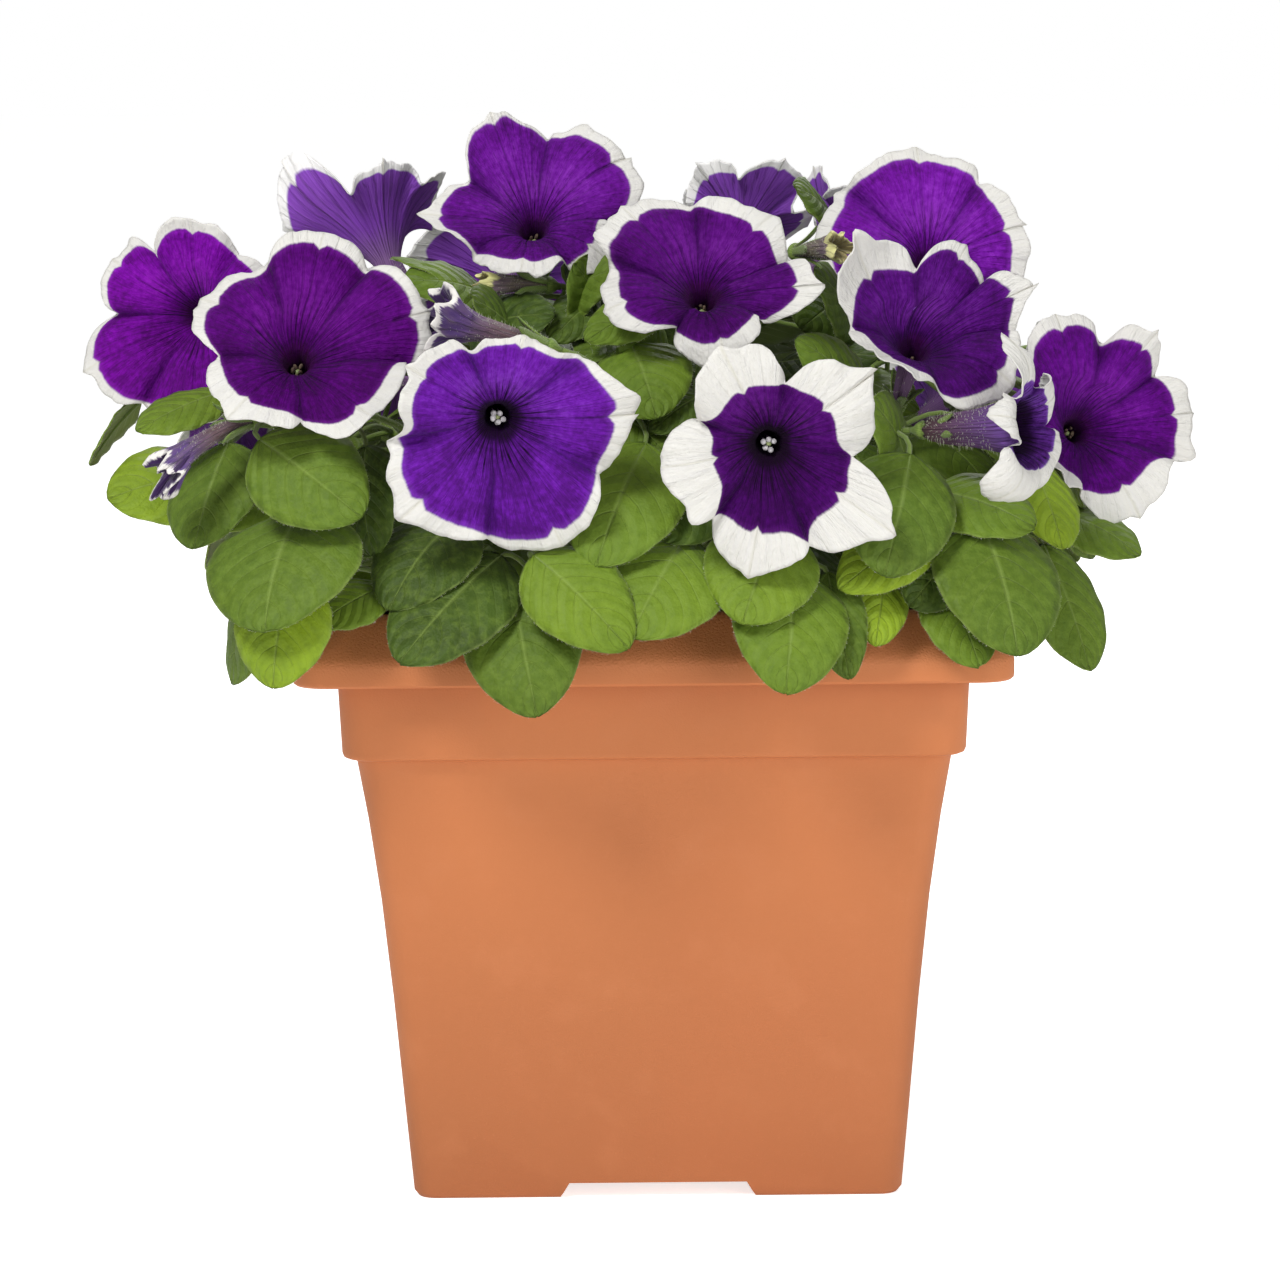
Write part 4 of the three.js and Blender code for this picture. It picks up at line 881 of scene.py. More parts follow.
def petal_back(name, seed, tube_colour, funnel_colour, tube_end):
    """The under side: paler violet with raised veins that run together on the tube."""
    finish = Finish(name, Roughness=0.65, Sheen_Weight=0.04, Sheen_Roughness=0.4, Specular_IOR_Level=0.1)
    (share, inward, coarse, fine, middle_vein, streaks, silk), _ = petal_pattern(finish, seed)
    white = inward.rising(-0.02, 0.02)
    pale = (streaks * 0.8 + silk * 0.6 + share * 0.3 + 0.3).rising(0.1, 0.9)
    funnel = finish.mixed(pale, funnel_colour, srgb(150, 88, 200))
    funnel = finish.mixed(1 - share.rising(tube_end - 0.2, tube_end + 0.2), funnel, tube_colour)
    veins = (coarse + fine * 0.35) * (1 - share * 0.7).smaller(1) + middle_vein * 0.6
    funnel = finish.mixed(veins.smaller(1) * 0.6, funnel, srgb(64, 28, 72))
    cream = finish.mixed(middle_vein * 0.4 + fine * 0.1, srgb(251, 250, 247), srgb(216, 212, 196))
    finish.drive("Base Color", finish.mixed(white, funnel, cream))
    finish.relief(streaks * 0.6 + silk * 0.3 + coarse * 0.4 + middle_vein * 0.6, 0.0007)
    return finish.material


def bud_finish(name, seed, tube_colour, head_colour, edge_colour, inside_colour, edge_start=0.67):
    """A folded corolla: hairy ribbed tube with darker veins, a pale rim on the folds and a dark mouth."""
    finish = Finish(name, Roughness=0.62, Sheen_Weight=0.25, Specular_IOR_Level=0.25)
    across, along = finish.uv()
    angle = across * (2 * math.pi)
    patches = finish.noise(finish.ring(angle, 1, along * 3 + seed), 3.0, 4.0)
    streaks = finish.noise(finish.ring(angle, 6, along * 2 + seed), 3.0, 3.0)
    veins = (1 - abs((angle * 7.5 + patches * 2).sine())) ** 6
    colour = finish.mixed(along.rising(0.3, 0.58), tube_colour, head_colour)
    colour = finish.mixed(patches.rising(0.35, 0.7) * 0.5, colour, srgb(126, 104, 122))
    colour = finish.mixed(veins * 0.55, colour, srgb(52, 30, 54))
    rim = (along + patches * 0.12 + streaks * 0.14 - 0.13).rising(edge_start, edge_start + 0.04)
    colour = finish.mixed(rim, colour, edge_colour)
    inside = (along + streaks * 0.1 - 0.05).rising(0.77, 0.81)
    colour = finish.mixed(inside, colour, inside_colour)
    finish.drive("Base Color", colour)
    finish.relief(veins * 0.6 + patches * 0.5 + streaks * 0.6, 0.0007)
    return finish.material


def leaf_pattern(finish):
    """How far a point of a blade is from the midrib and from a side vein, and the veins themselves."""
    across, along = finish.uv()
    outward = abs(across * 2 - 1)
    bends = finish.noise(finish.place(), 60.0, 2.0) - 0.5
    run = along * SIDE_VEINS - outward ** 1.35 * 2.3 + bends * 0.35
    off = abs(run - run.nearest()) * 2
    side_veins = (1 - off * 9).larger(0) * (1 - outward).larger(0)
    midrib = 1 - (outward * (11 + along * 16)).smaller(1)
    return outward, off, side_veins, midrib


def leaf_top():
    """The upper side: fresh to yellow green, with a pale midrib, faint side veins and small blisters."""
    finish = Finish("leaf_top", Sheen_Weight=0.02, Sheen_Roughness=0.5, Specular_IOR_Level=0.16)
    outward, off, side_veins, midrib = leaf_pattern(finish)
    tone = finish.tone()
    place = finish.place()
    patches = finish.noise(place, 38.0, 3.0)
    mottled = finish.noise(place, 300.0, 4.0, 0.6)
    grain = finish.cells(place, 900.0)
    # The lowest tones run to a very dark green, which paints the shade of leaves deep inside the plant.
    green = finish.mixed(tone.rising(0.0, 0.55), srgb(42, 58, 20), srgb(104, 129, 36))
    green = finish.mixed(tone.rising(0.5, 1.0), green, srgb(146, 172, 38))
    green = finish.mixed(patches.rising(0.3, 0.7) * 0.4, green, srgb(86, 112, 38))
    green = finish.mixed(mottled.rising(0.4, 0.7) * 0.26, green, srgb(126, 150, 60))
    green = finish.mixed((1 - mottled.rising(0.3, 0.5)) * 0.2, green, srgb(66, 88, 30))
    green = finish.mixed(off.rising(0.3, 1.0) * 0.14, green, srgb(78, 102, 36))
    green = finish.mixed((side_veins * 0.16 + midrib * 0.36).smaller(1), green, srgb(148, 170, 88))
    green = finish.mixed(outward.rising(0.94, 1.0) * 0.3, green, srgb(152, 170, 96))
    finish.drive("Base Color", green)
    finish.drive("Roughness", 0.42 + patches * 0.16 + mottled * 0.08)
    quilting = off * 0.35 + mottled * 0.4 + patches * 0.6 - side_veins * 0.2 - midrib * 0.35 - grain * 0.12
    finish.relief(quilting, 0.0012)
    return finish.material


def leaf_under():
    """The under side: greyer and paler, with raised veins."""
    finish = Finish("leaf_under", Roughness=0.6, Sheen_Weight=0.2, Specular_IOR_Level=0.25)
    _, _, side_veins, midrib = leaf_pattern(finish)
    patches = finish.noise(finish.place(), 90.0, 3.0)
    green = finish.mixed(finish.tone(), srgb(92, 110, 52), srgb(134, 152, 72))
    green = finish.mixed(patches.rising(0.3, 0.7) * 0.4, green, srgb(134, 152, 88))
    green = finish.mixed((side_veins * 0.7 + midrib).smaller(1), green, srgb(172, 186, 116))
    finish.drive("Base Color", green)
    finish.relief(side_veins * 0.4 + midrib * 0.6 + patches * 0.5, 0.0006)
    return finish.material


def stem_finish(name, low, high):
    """Soft green stems, streaked along their length."""
    finish = Finish(name, Roughness=0.6, Sheen_Weight=0.25, Specular_IOR_Level=0.3)
    across, along = finish.uv()
    angle = across * (2 * math.pi)
    streaks = finish.noise(finish.ring(angle, 4, along * 1.5), 2.5, 3.0)
    patches = finish.noise(finish.place(), 120.0, 3.0)
    green = finish.mixed(streaks.rising(0.35, 0.65), low, high)
    green = finish.mixed(patches.rising(0.5, 0.8) * 0.35, green, srgb(92, 100, 52))
    finish.drive("Base Color", green)
    finish.relief(streaks * 0.6 + patches * 0.5, 0.0004)
    return finish.material


def hair_finish():
    finish = Finish("fine_hair", Roughness=0.45, Sheen_Weight=0.2)
    patches = finish.noise(finish.place(), 60.0)
    finish.drive("Base Color", finish.mixed(patches, srgb(206, 210, 176), srgb(232, 232, 214)))
    return finish.material


def plain_mottled(name, first, second, scale, roughness, depth):
    """A small part's finish: two near colours in patches with fine grain."""
    finish = Finish(name, Roughness=roughness, Specular_IOR_Level=0.3)
    patches = finish.noise(finish.place(), scale, 4.0, 0.6)
    finish.drive("Base Color", finish.mixed(patches.rising(0.35, 0.65), first, second))
    finish.relief(patches, depth)
    return finish.material


def terracotta():
    """Moulded terracotta plastic: matt with a fine grain, leather-like grain on the sloping lip, and painted
    shade towards the bottom.
    """
    finish = Finish("terracotta_plastic", Roughness=0.5, Specular_IOR_Level=0.3)
    place = finish.place()
    height = finish.height()
    lip = height.rising(0.201, 0.208)
    clouds = finish.noise(place, 7.0, 4.0)
    blotches = finish.noise(place, 45.0, 3.0)
    grain = finish.noise(place, 1500.0, 2.0)
    leather = finish.cells(place, 700.0, "DISTANCE_TO_EDGE")
    # Darker towards the bottom and lighter towards the top: painted shade, as the light falls from above.
    colour = finish.mixed(height.rising(0.0, 0.19), srgb(173, 106, 64), srgb(203, 124, 75))
    colour = finish.mixed(clouds.rising(0.3, 0.7) * 0.5, colour, srgb(189, 112, 68))
    colour = finish.mixed(blotches.rising(0.5, 0.75) * 0.16, colour, srgb(206, 132, 88))
    colour = finish.mixed(grain.rising(0.6, 0.8) * 0.14, colour, srgb(216, 144, 100))
    colour = finish.mixed(lip * 0.5, colour, srgb(212, 134, 86))
    finish.drive("Base Color", colour)
    finish.drive("Roughness", 0.5 + grain * 0.14 + lip * 0.02)
    relief = grain * 0.35 + lip * leather.smaller(0.3) * 1.3 + clouds * 0.8 + blotches * 0.3
    finish.relief(relief, 0.0003)
    return finish.material


def potting_mix(name, dark, brown):
    finish = Finish(name, Roughness=0.95, Specular_IOR_Level=0.15)
    place = finish.place()
    lumps = finish.noise(place, 240.0, 5.0, 0.7)
    fibres = finish.noise(place, 900.0, 4.0, 0.7)
    colour = finish.mixed(lumps.rising(0.35, 0.65), dark, brown)
    finish.drive("Base Color", finish.mixed(fibres.rising(0.6, 0.75) * 0.5, colour, srgb(112, 84, 58)))
    finish.relief(lumps * 0.7 + fibres * 0.5, 0.0016)
    return finish.material


LEAF_TOP = leaf_top()
LEAF_UNDER = leaf_under()
STEM = stem_finish("green_stem", srgb(92, 116, 44), srgb(128, 150, 66))
SEPAL = stem_finish("sepal", srgb(96, 124, 48), srgb(134, 156, 72))
HAIR = hair_finish()
ANTHER = plain_mottled("anther", srgb(150, 146, 150), srgb(190, 186, 188), 900.0, 0.7, 0.0004)
DULL_ANTHER = plain_mottled("dull_anther", srgb(70, 52, 50), srgb(112, 96, 78), 900.0, 0.7, 0.0004)
STIGMA = plain_mottled("stigma", srgb(118, 132, 84), srgb(160, 168, 116), 700.0, 0.4, 0.0002)
FILAMENT = plain_mottled("filament", srgb(92, 60, 104), srgb(128, 100, 134), 300.0, 0.5, 0.0002)
TERRACOTTA = terracotta()
SOIL = potting_mix("potting_mix", srgb(34, 24, 18), srgb(66, 48, 34))
PERLITE = plain_mottled("perlite", srgb(206, 202, 192), srgb(232, 230, 224), 800.0, 0.85, 0.0005)


# Pot and soil

def square_points(half, height, corner, quarters, angles):
    """Points of a square ring with rounded corners, each in a quarter and at an angle."""
    side_x = np.where((quarters == 0) | (quarters == 3), 1, -1)
    side_y = np.where(quarters < 2, 1, -1)
    x = side_x * (half - corner) + corner * np.cos(angles)
    y = side_y * (half - corner) + corner * np.sin(angles)
    return np.stack([x, y, np.broadcast_to(height, x.shape)], axis=-1)


def ring_of(column):
    """The quarter and the angle of each of the points round the pot."""
    per_corner = CORNER_STEPS + 1
    column = column % (4 * per_corner)
    quarters = column // per_corner
    return quarters, (quarters + (column % per_corner) / CORNER_STEPS) * math.pi / 2


def ringed(name, rings, material):
    """A sheet whose rows are square rings, each given as its half width, height and corner radius."""
    rings = np.array(rings)
    columns = 4 * (CORNER_STEPS + 1)

    def place(u, v):
        quarters, angles = ring_of(np.rint(u * columns).astype(int))
        half, height, corner = rings[np.rint(v * (len(rings) - 1)).astype(int)].T
        return square_points(half, height, corner, quarters, angles)

    return sheet(name, columns, len(rings) - 1, place, [material])


def build_pot():
    """The pot as one sheet, up its outside and down its inside, with feet, drainage holes and soft edges."""
    foot, floor = (CLOSED, 0, CLOSED_CORNER), (CLOSED, FLOOR_TOP, CLOSED_CORNER)
    rings = [foot, *BODY, *COLLAR, *LIP_INSIDE, *LIP, *INSIDE, floor]
    pot = joined("square_pot", [ringed("square_pot", rings, TERRACOTTA)])
    cutters = []
    for turn in (0, math.pi / 2):
        bpy.ops.object.select_all(action="DESELECT")
        bpy.ops.mesh.primitive_cube_add(size=2, rotation=(0, 0, turn))
        channel = bpy.context.object
        for corner in channel.data.vertices:
            width = NOTCH_TOP_WIDTH if corner.co.z > 0 else NOTCH_GROUND_WIDTH
            corner.co.x *= width / 2 * MM
            corner.co.y *= NOTCH_HALF_LENGTH * MM
            corner.co.z = FOOT_HEIGHT * MM if corner.co.z > 0 else -MM
        cutters.append(channel)
    for x, y in DRAIN_SPOTS:
        bpy.ops.mesh.primitive_cylinder_add(vertices=24, radius=DRAIN_RADIUS * MM, depth=0.02,
                                            location=(x * DRAIN_OFFSET * MM, y * DRAIN_OFFSET * MM, 0.006))
        cutters.append(bpy.context.object)
    for cutter in cutters:
        select_only([pot])
        cut = pot.modifiers.new("cut", "BOOLEAN")
        cut.operation = "DIFFERENCE"
        cut.object = cutter
        bpy.ops.object.modifier_apply(modifier=cut.name)
        bpy.data.objects.remove(cutter)
    edges = pot.modifiers.new("edges", "BEVEL")
    edges.width = EDGE_ROUNDING * MM
    edges.segments = 2
    edges.limit_method = "ANGLE"
    edges.angle_limit = math.radians(38)
    bpy.ops.object.modifier_apply(modifier=edges.name)
    bpy.ops.object.shade_smooth_by_angle(angle=math.radians(35))
    return pot


def swelling(x, y):
    """How far the soil swells up or down at a spot."""
    return SWELLING * np.sin(x * 0.11 + 1) * np.cos(y * 0.13)


def build_soil(chance):
    """Potting mix: a lumpy top with crumbs, on a plain body that fills the pot."""
    walls = [(half - SOIL_GAP, height, max(corner - SOIL_GAP, 1)) for half, height, corner in INSIDE[:1:-1]]
    walls[0] = (walls[0][0], walls[0][1] + SOIL_GAP, walls[0][2])
    walls[-1] = (SOIL_HALF, SOIL_TOP - SOIL_DEPTH, SOIL_CORNER)
    low, high = (CLOSED, walls[0][1], CLOSED_CORNER), (SOIL_HALF * 0.97, SOIL_TOP - 0.5, SOIL_CORNER)

    def top(u, v):
        reach = SOIL_HALF * 0.975
        x, y = (2 * u - 1) * reach, (2 * v - 1) * reach
        edge = np.maximum(np.abs(x), np.abs(y)) / reach
        z = SOIL_TOP + swelling(x, y) * (1 - edge ** 6)
        z += chance.uniform(-LUMPS, LUMPS, len(x)) * (1 - edge ** 8) - SOIL_DEPTH * edge ** 12
        return np.stack([x, y, z], axis=-1)

    body = ringed("soil_body", [low, *walls, high], SOIL)
    surface = sheet("soil_surface", SOIL_GRID, SOIL_GRID, top, [SOIL])
    soil = joined("potting_soil", [body, surface])
    bpy.ops.object.select_all(action="DESELECT")
    bpy.ops.mesh.primitive_ico_sphere_add(subdivisions=1, radius=1)
    shape, faces = taken_apart()
    scattered = [soil]
    for (count, smallest, largest), material in ((CRUMBS, SOIL), (PERLITE_GRAINS, PERLITE)):
        spots = chance.uniform(-STREWN_HALF, STREWN_HALF, (count, 2))
        centres = np.column_stack([spots, SOIL_TOP + swelling(spots[:, 0], spots[:, 1]) + 0.3])
        sizes = chance.uniform(smallest, largest, (count, 1, 1))
        sizes = sizes * chance.uniform(0.6, 1.1, (count, len(shape), 1))
        points = centres[:, None] + shape[None] * sizes
        scattered.append(many_copies("crumbs", points, faces, material))
    select_only(scattered)
    bpy.ops.object.join()
    bpy.ops.object.shade_smooth_by_angle(angle=math.radians(40))
    return bpy.context.object


# Blooms and buds

def bloom_frame(part):
    """Where a bloom or bud is, the way it faces, and the two directions across that."""
    forward = facing(part["az"], part["el"])
    across = unit(np.cross(UP, forward))
    return vector(*part["at"]), forward, across, np.cross(forward, across)


def placed(axes, radius, angle, height):
    """Points round the axis of a bloom or bud, at a height along the way that it faces."""
    centre, forward, across, upward = axes
    values = np.broadcast_arrays(radius, angle, height)
    radius, angle, height = (np.atleast_1d(value)[:, None] for value in values)
    return centre + radius * np.cos(angle) * across + radius * np.sin(angle) * upward + height * forward


def lobes_of(name):
    """The five lobes of a bloom as in LOBES. Where the front doesn't show them, they are nearly alike."""
    if name in LOBES:
        return LOBES[name]
    bloom = BLOOMS[name]
    lobes = []
    for i, bend in enumerate(bloom["bends"]):
        uneven = 1 + 0.05 * math.sin(bloom["phase"] * 3 + 2.4 * i)
        tip = bloom["roll"] + 72 * i + 5 * math.sin(bloom["phase"] + 2.1 * i)
        margin = USUAL_MARGIN * (1 + 0.4 * math.sin(bloom["phase"] * 2 + 3.3 * i))
        if name in WIDE_MARGINS:
            margin *= WIDENING
        reach = bloom["radius"] * 1.06 * uneven
        seam_reach = bloom["radius"] * (0.97 - bloom["notch"])
        lobes.append((tip, reach, margin, bloom["roll"] + 72 * i + 36, seam_reach, bend))
    return lobes


def round_the_rim(values, u, whole_turn=0):
    """Values of the tips and seams in turn, joined smoothly round the rim, where u goes from 0 to 1."""
    around = np.concatenate([values - whole_turn, values, values + whole_turn])
    places = (np.arange(len(around)) - len(values)) / len(values)
    return sum(np.interp(u + step, places, around) for step in SMOOTHING) / len(SMOOTHING)


def waves(around, phase, table):
    """The waves of a table, added up at an angle round the rim."""
    return sum(size * np.sin(count * around + shift * phase) for count, shift, size in table)


def ridge(distance, width):
    """A smooth ridge, 1 high, that fades out past its width on both sides."""
    return np.exp(-(distance / width) ** 2)


def limb(name, u, share):
    """Angle, radius, height and white margin of the limb, at a share of the way from throat to edge."""
    bloom = BLOOMS[name]
    lobes = lobes_of(name)
    phase = bloom["phase"]
    turns = u * 5
    number = np.rint(turns)
    side = 2 * (turns - number)
    columns = (np.array(values, dtype=float) for values in zip(*lobes))
    tips, reaches, margins, seams, seam_reaches, bends = columns
    rim_angles = np.unwrap(np.radians(np.column_stack([tips, seams]).ravel()))
    even = rim_angles[0] + 2 * math.pi * u
    warped = round_the_rim(rim_angles, u, 2 * math.pi)
    angle = even + (warped - even) * np.clip(share * 2.5, 0, 1)
    between = (bends + np.roll(bends, -1)) / 4
    bend = round_the_rim(np.column_stack([bends, between]).ravel(), u)
    lobe = number.astype(int) % 5
    nearest_seam = np.where(side >= 0, seam_reaches[lobe], seam_reaches[lobe - 1])
    swell = 1 - np.abs(side) ** 2.6
    reach = nearest_seam + (reaches[lobe] - nearest_seam) * swell
    margin = SEAM_MARGIN + (margins[lobe] - SEAM_MARGIN) * (1 - np.abs(side) ** 5)
    curl = np.radians(np.array(CURLS.get(name, USUAL_CURLS)))[lobe] * np.cos(side * math.pi / 2) ** 0.8
    # The edge wanders, is torn into fine teeth, has a small point on each midrib and curls from half way out.
    teeth = TEETH_DEPTH * waves(warped, phase, TEETH)
    point = (1.4 + 1.2 * np.sin(phase * 5 + 1.9 * number)) * ridge(side, MIDRIB_WIDTH)
    reach = reach + (teeth + point) * share ** 6
    for spur, amount in SPURS.get(name, []):
        away = warped - math.radians(spur)
        away = np.arctan2(np.sin(away), np.cos(away))
        reach = reach + amount * ridge(away, SPUR_WIDTH) * share ** 6
    throat = bloom.get("throat", THROAT_RADIUS)
    length = (reach - throat) * np.maximum(share - CURL_START, 0)
    length *= 1 + (bloom.get("lobe", 1) - 1) * swell ** 1.5
    rolled = curl * np.maximum(share - CURL_START, 0) / (1 - CURL_START)
    radius = throat + (reach - throat) * np.minimum(share, CURL_START)
    radius += length * np.sinc(rolled / math.pi)
    height = bloom["cup"] * (1 - (1 - share) ** 2.4) + bend * share ** 2 - 2.4 * np.exp(-share / 0.05)
    height += length * np.sinc(rolled / (2 * math.pi)) * np.sin(rolled / 2)
    height += bloom["ruffle"] * waves(warped, phase, RUFFLES) * share ** 2
    for count, shift, size, power in FRILLS:
        height += size * np.sin(count * warped + shift * phase) * share ** power
    # A groove on each midrib, a fold at each seam, and lobes that lie over one another there.
    from_seam = 1 - np.abs(side)
    depth, width, end = MIDRIB_GROOVE
    height -= depth * ridge(side, width) * share * (end - share)
    height += LAP * side * (1 - np.abs(side) ** 18) * share ** 2
    for depth, width, end in SEAM_FOLDS:
        height -= depth * ridge(from_seam, width) * share * (end - share)
    height -= SEAM_DIP * ridge(from_seam, SEAM_DIP_WIDTH) * share ** 3
    return angle, radius, height, margin


def build_bloom(name, bloom, chance):
    """An open corolla of one sheet from the foot of its tube to its edge, with stamens, pistil and hairs."""
    axes = bloom_frame(bloom)
    girth = bloom.get("girth", 1)
    columns = PETAL_COLUMNS if name in LOBES else HIDDEN_PETAL_COLUMNS

    def place(u, v):
        share = np.clip((v - LIMB_START) / (1 - LIMB_START), THROAT_START, 1)
        angle, radius, height, _ = limb(name, u, share)
        depth = TUBE_MOUTH + (TUBE_FOOT - TUBE_MOUTH) * (1 - np.clip(v / LIMB_START, 0, 1))
        ribs = 1 + 0.05 * np.cos(10 * math.pi * u)
        pipe = np.interp(-depth, -np.array(TUBE_DEPTHS), TUBE_RADII) * girth * ribs
        inside = v < LIMB_START - 1e-6
        return placed(axes, np.where(inside, pipe, radius), angle, np.where(inside, -depth, height))

    seed = bloom["phase"] * 3.7
    *violet, eye = VIOLETS.get(name, USUAL_VIOLET)
    # The angle at which the face's painted sheen is brightest.
    fan = math.radians(90 - lobes_of(name)[0][0])
    young = name == YOUNG_BLOOM
    back = petal_back(name + "_back", seed, srgb(104, 78, 84) if young else srgb(146, 112, 156),
                      srgb(112, 82, 150) if young else srgb(122, 58, 172), -0.08 if young else 0.09)
    face = petal_face(name + "_face", seed, fan, violet, eye)
    _, places = grid(columns, PETAL_ROWS)
    margin = limb(name, places[:, 0], np.ones(len(places)))[3]
    corolla = joined(name + "_corolla", [sheet(name, columns, PETAL_ROWS, place, [back, face], margin)])
    thickened(corolla, PETAL_THICKNESS)
    parts = [corolla]
    # Anthers round a stigma, each on its own filament down to the foot of the tube.
    open_eye = name in OPEN_EYES
    shown = SHOWN_ANTHERS if open_eye else SUNKEN_ANTHERS
    for i in range(STAMENS):
        angle = STAMEN_TURN * i + bloom["phase"] + chance.uniform(-0.3, 0.3)
        top = placed(axes, chance.uniform(1.3, 2.4), angle, shown + chance.uniform(-0.4, 0.9))[0]
        low = placed(axes, 1.1 * girth, angle, FILAMENT_FOOT)[0]
        parts.append(tube("filament", np.linspace(low, top, 4), FILAMENT_RADIUS, 5, FILAMENT))
        way = unit(axes[1] + chance.normal(0, 0.5, 3))
        anther = np.array([top + way * step for step in ANTHER_STEPS])
        thickness = np.array(ANTHER_RADII) * (1 if open_eye else 0.7)
        parts.append(tube("anther", anther, thickness, 8, ANTHER if open_eye else DULL_ANTHER))
    style = np.linspace(placed(axes, 0, 0, STYLE_FOOT)[0], placed(axes, 0, 0, shown - 0.8)[0], 4)
    parts.append(tube("style", style, STYLE_RADIUS, 6, FILAMENT))
    knob = style[-1] + axes[1] * np.array(STIGMA_STEPS)[:, None]
    parts.append(tube("stigma", knob, np.array(STIGMA_RADII), 8, STIGMA))
    # Short hairs on the outside of the tube.
    count = YOUNG_TUBE_HAIRS if young else TUBE_HAIRS
    angle = chance.uniform(0, 2 * math.pi, count)
    depth = chance.uniform(3, 31, count)
    radius = np.interp(-depth, -np.array(TUBE_DEPTHS), TUBE_RADII) * girth
    roots = placed(axes, radius, angle, -depth)
    ways = placed(axes, radius + 1, angle, -depth + 0.35) - roots + chance.normal(0, 0.15, (count, 3))
    lengths = chance.uniform(0.8, 2.4 if young else 1.6, count)
    parts.append(hairs(roots, ways, lengths, TUBE_HAIR_RADIUS))
    return joined(name + "_flower", parts)


def build_bud(name, bud, chance):
    """A folded or withered corolla, with hairs on its tube."""
    axes = bloom_frame(bud)
    withered = "withered" in name
    seed = bud["az"] * 0.07

    def shape(u, v):
        """Radius, angle and share of the length: a folded funnel whose rim rolls in to a dark mouth."""
        share = np.interp(v, BUD_ROWS_AT, BUD_SHARES)
        head = np.interp(v, [0.42, 0.7], [1, bud["head"]])
        fold = np.interp(v, BUD_ROWS_AT, BUD_FOLDS)
        angle = 2 * math.pi * u
        turn = 1.1 * v
        pleats = 0.5 * np.cos(5 * (angle - turn)) + 0.45 * np.sin(3 * angle + seed)
        pleats += 0.3 * np.sin(8 * angle + 2 * seed)
        radius = np.interp(v, BUD_ROWS_AT, BUD_RADII) * bud["girth"] * head * (1 + fold * pleats)
        rough = 0.4 if withered else 0.2
        radius += rough * np.sin(13 * angle + 17 * v + seed) * fold * 2
        jags = np.sin(4 * angle + 3 * seed) + 0.6 * np.sin(9 * angle + seed)
        share = share + fold * 0.16 * jags * (v > 0.5)
        return np.maximum(radius, 0.05), angle + turn * fold, share

    def place(u, v):
        radius, angle, share = shape(u, v)
        points = placed(axes, radius, angle, bud["length"] * share)
        return points - UP * (bud["droop"] * share ** 2)[:, None]

    if withered:
        finish = bud_finish(name, seed, srgb(116, 108, 84), srgb(110, 90, 104), srgb(226, 222, 152),
                            srgb(150, 138, 92), 0.55)
    else:
        finish = bud_finish(name, seed, srgb(104, 78, 80), srgb(92, 64, 128), srgb(236, 232, 226),
                            srgb(50, 18, 76))
    parts = [sheet(name, BUD_COLUMNS, BUD_ROWS, place, [finish])]
    u = chance.uniform(0, 1, BUD_HAIRS)
    v = chance.uniform(0.03, 0.6, BUD_HAIRS)
    roots = place(u, v)
    radius, angle, share = shape(u, v)
    drooping = UP * (bud["droop"] * share ** 2)[:, None]
    ways = placed(axes, radius + 1, angle, bud["length"] * share) - drooping - roots
    ways = unit(ways) + axes[1] * 0.25 + chance.normal(0, 0.15, (BUD_HAIRS, 3))
    parts.append(hairs(roots, ways, chance.uniform(0.7, 1.5, BUD_HAIRS), BUD_HAIR_RADIUS))
    return joined(name + "_corolla", parts)


# Shoots: stems, calyces and leaves

def base_of(name):
    """Where a bloom or a bud sits in its calyx, its axes there, and the roll of the calyx."""
    if name in BUDS:
        axes = bloom_frame(BUDS[name])
        return axes, 0
    centre, forward, across, upward = bloom_frame(BLOOMS[name])
    return (centre - forward * TUBE_LENGTH, forward, across, upward), BLOOMS[name]["roll"]


def main_curve(root, end_name, steps):
    (base, forward, _, _), _ = base_of(end_name)
    low = vector(root[0], root[1], SOIL_TOP - STEM_SUNK)
    ground = vector(root[0], root[1], SOIL_TOP + STEM_UPRIGHT)
    end = base - forward * CALYX_FOOT
    rise = end[2] - ground[2]
    bend = ground + (end - ground) * STEM_LEAN
    bend[2] = ground[2] + STEM_LIFT * rise
    return np.vstack([low, cubic(ground, bend, end - forward * CALYX_LIFT * rise, end, steps)])


def branch_curve(start, end_name, steps):
    (base, forward, _, _), _ = base_of(end_name)
    end = base - forward * CALYX_FOOT
    reach = 0.4 * np.linalg.norm(end - start)
    return cubic(start, start + UP * reach, end - forward * reach, end, steps)


def rim_reach(azimuth):
    a = math.radians(azimuth)
    return min(RIM_HALF / max(abs(math.sin(a)), abs(math.cos(a))), RIM_CORNER_REACH)


def low_curve(azimuth, steps):
    out = facing(azimuth, 0)
    rim = rim_reach(azimuth) / RIM_HALF
    def at(reach, height):
        return out * reach + UP * height
    path = cubic(at(LOW_ROOT, SOIL_TOP + STEM_UPRIGHT), at(LOW_ROOT + 6, LOW_TOP + 8),
                 at(0.86 * LOW_REACH * rim, LOW_TOP + 12), at(LOW_REACH * rim, LOW_TOP - 2), steps)
    return np.vstack([at(LOW_ROOT, SOIL_TOP - STEM_SUNK), path])


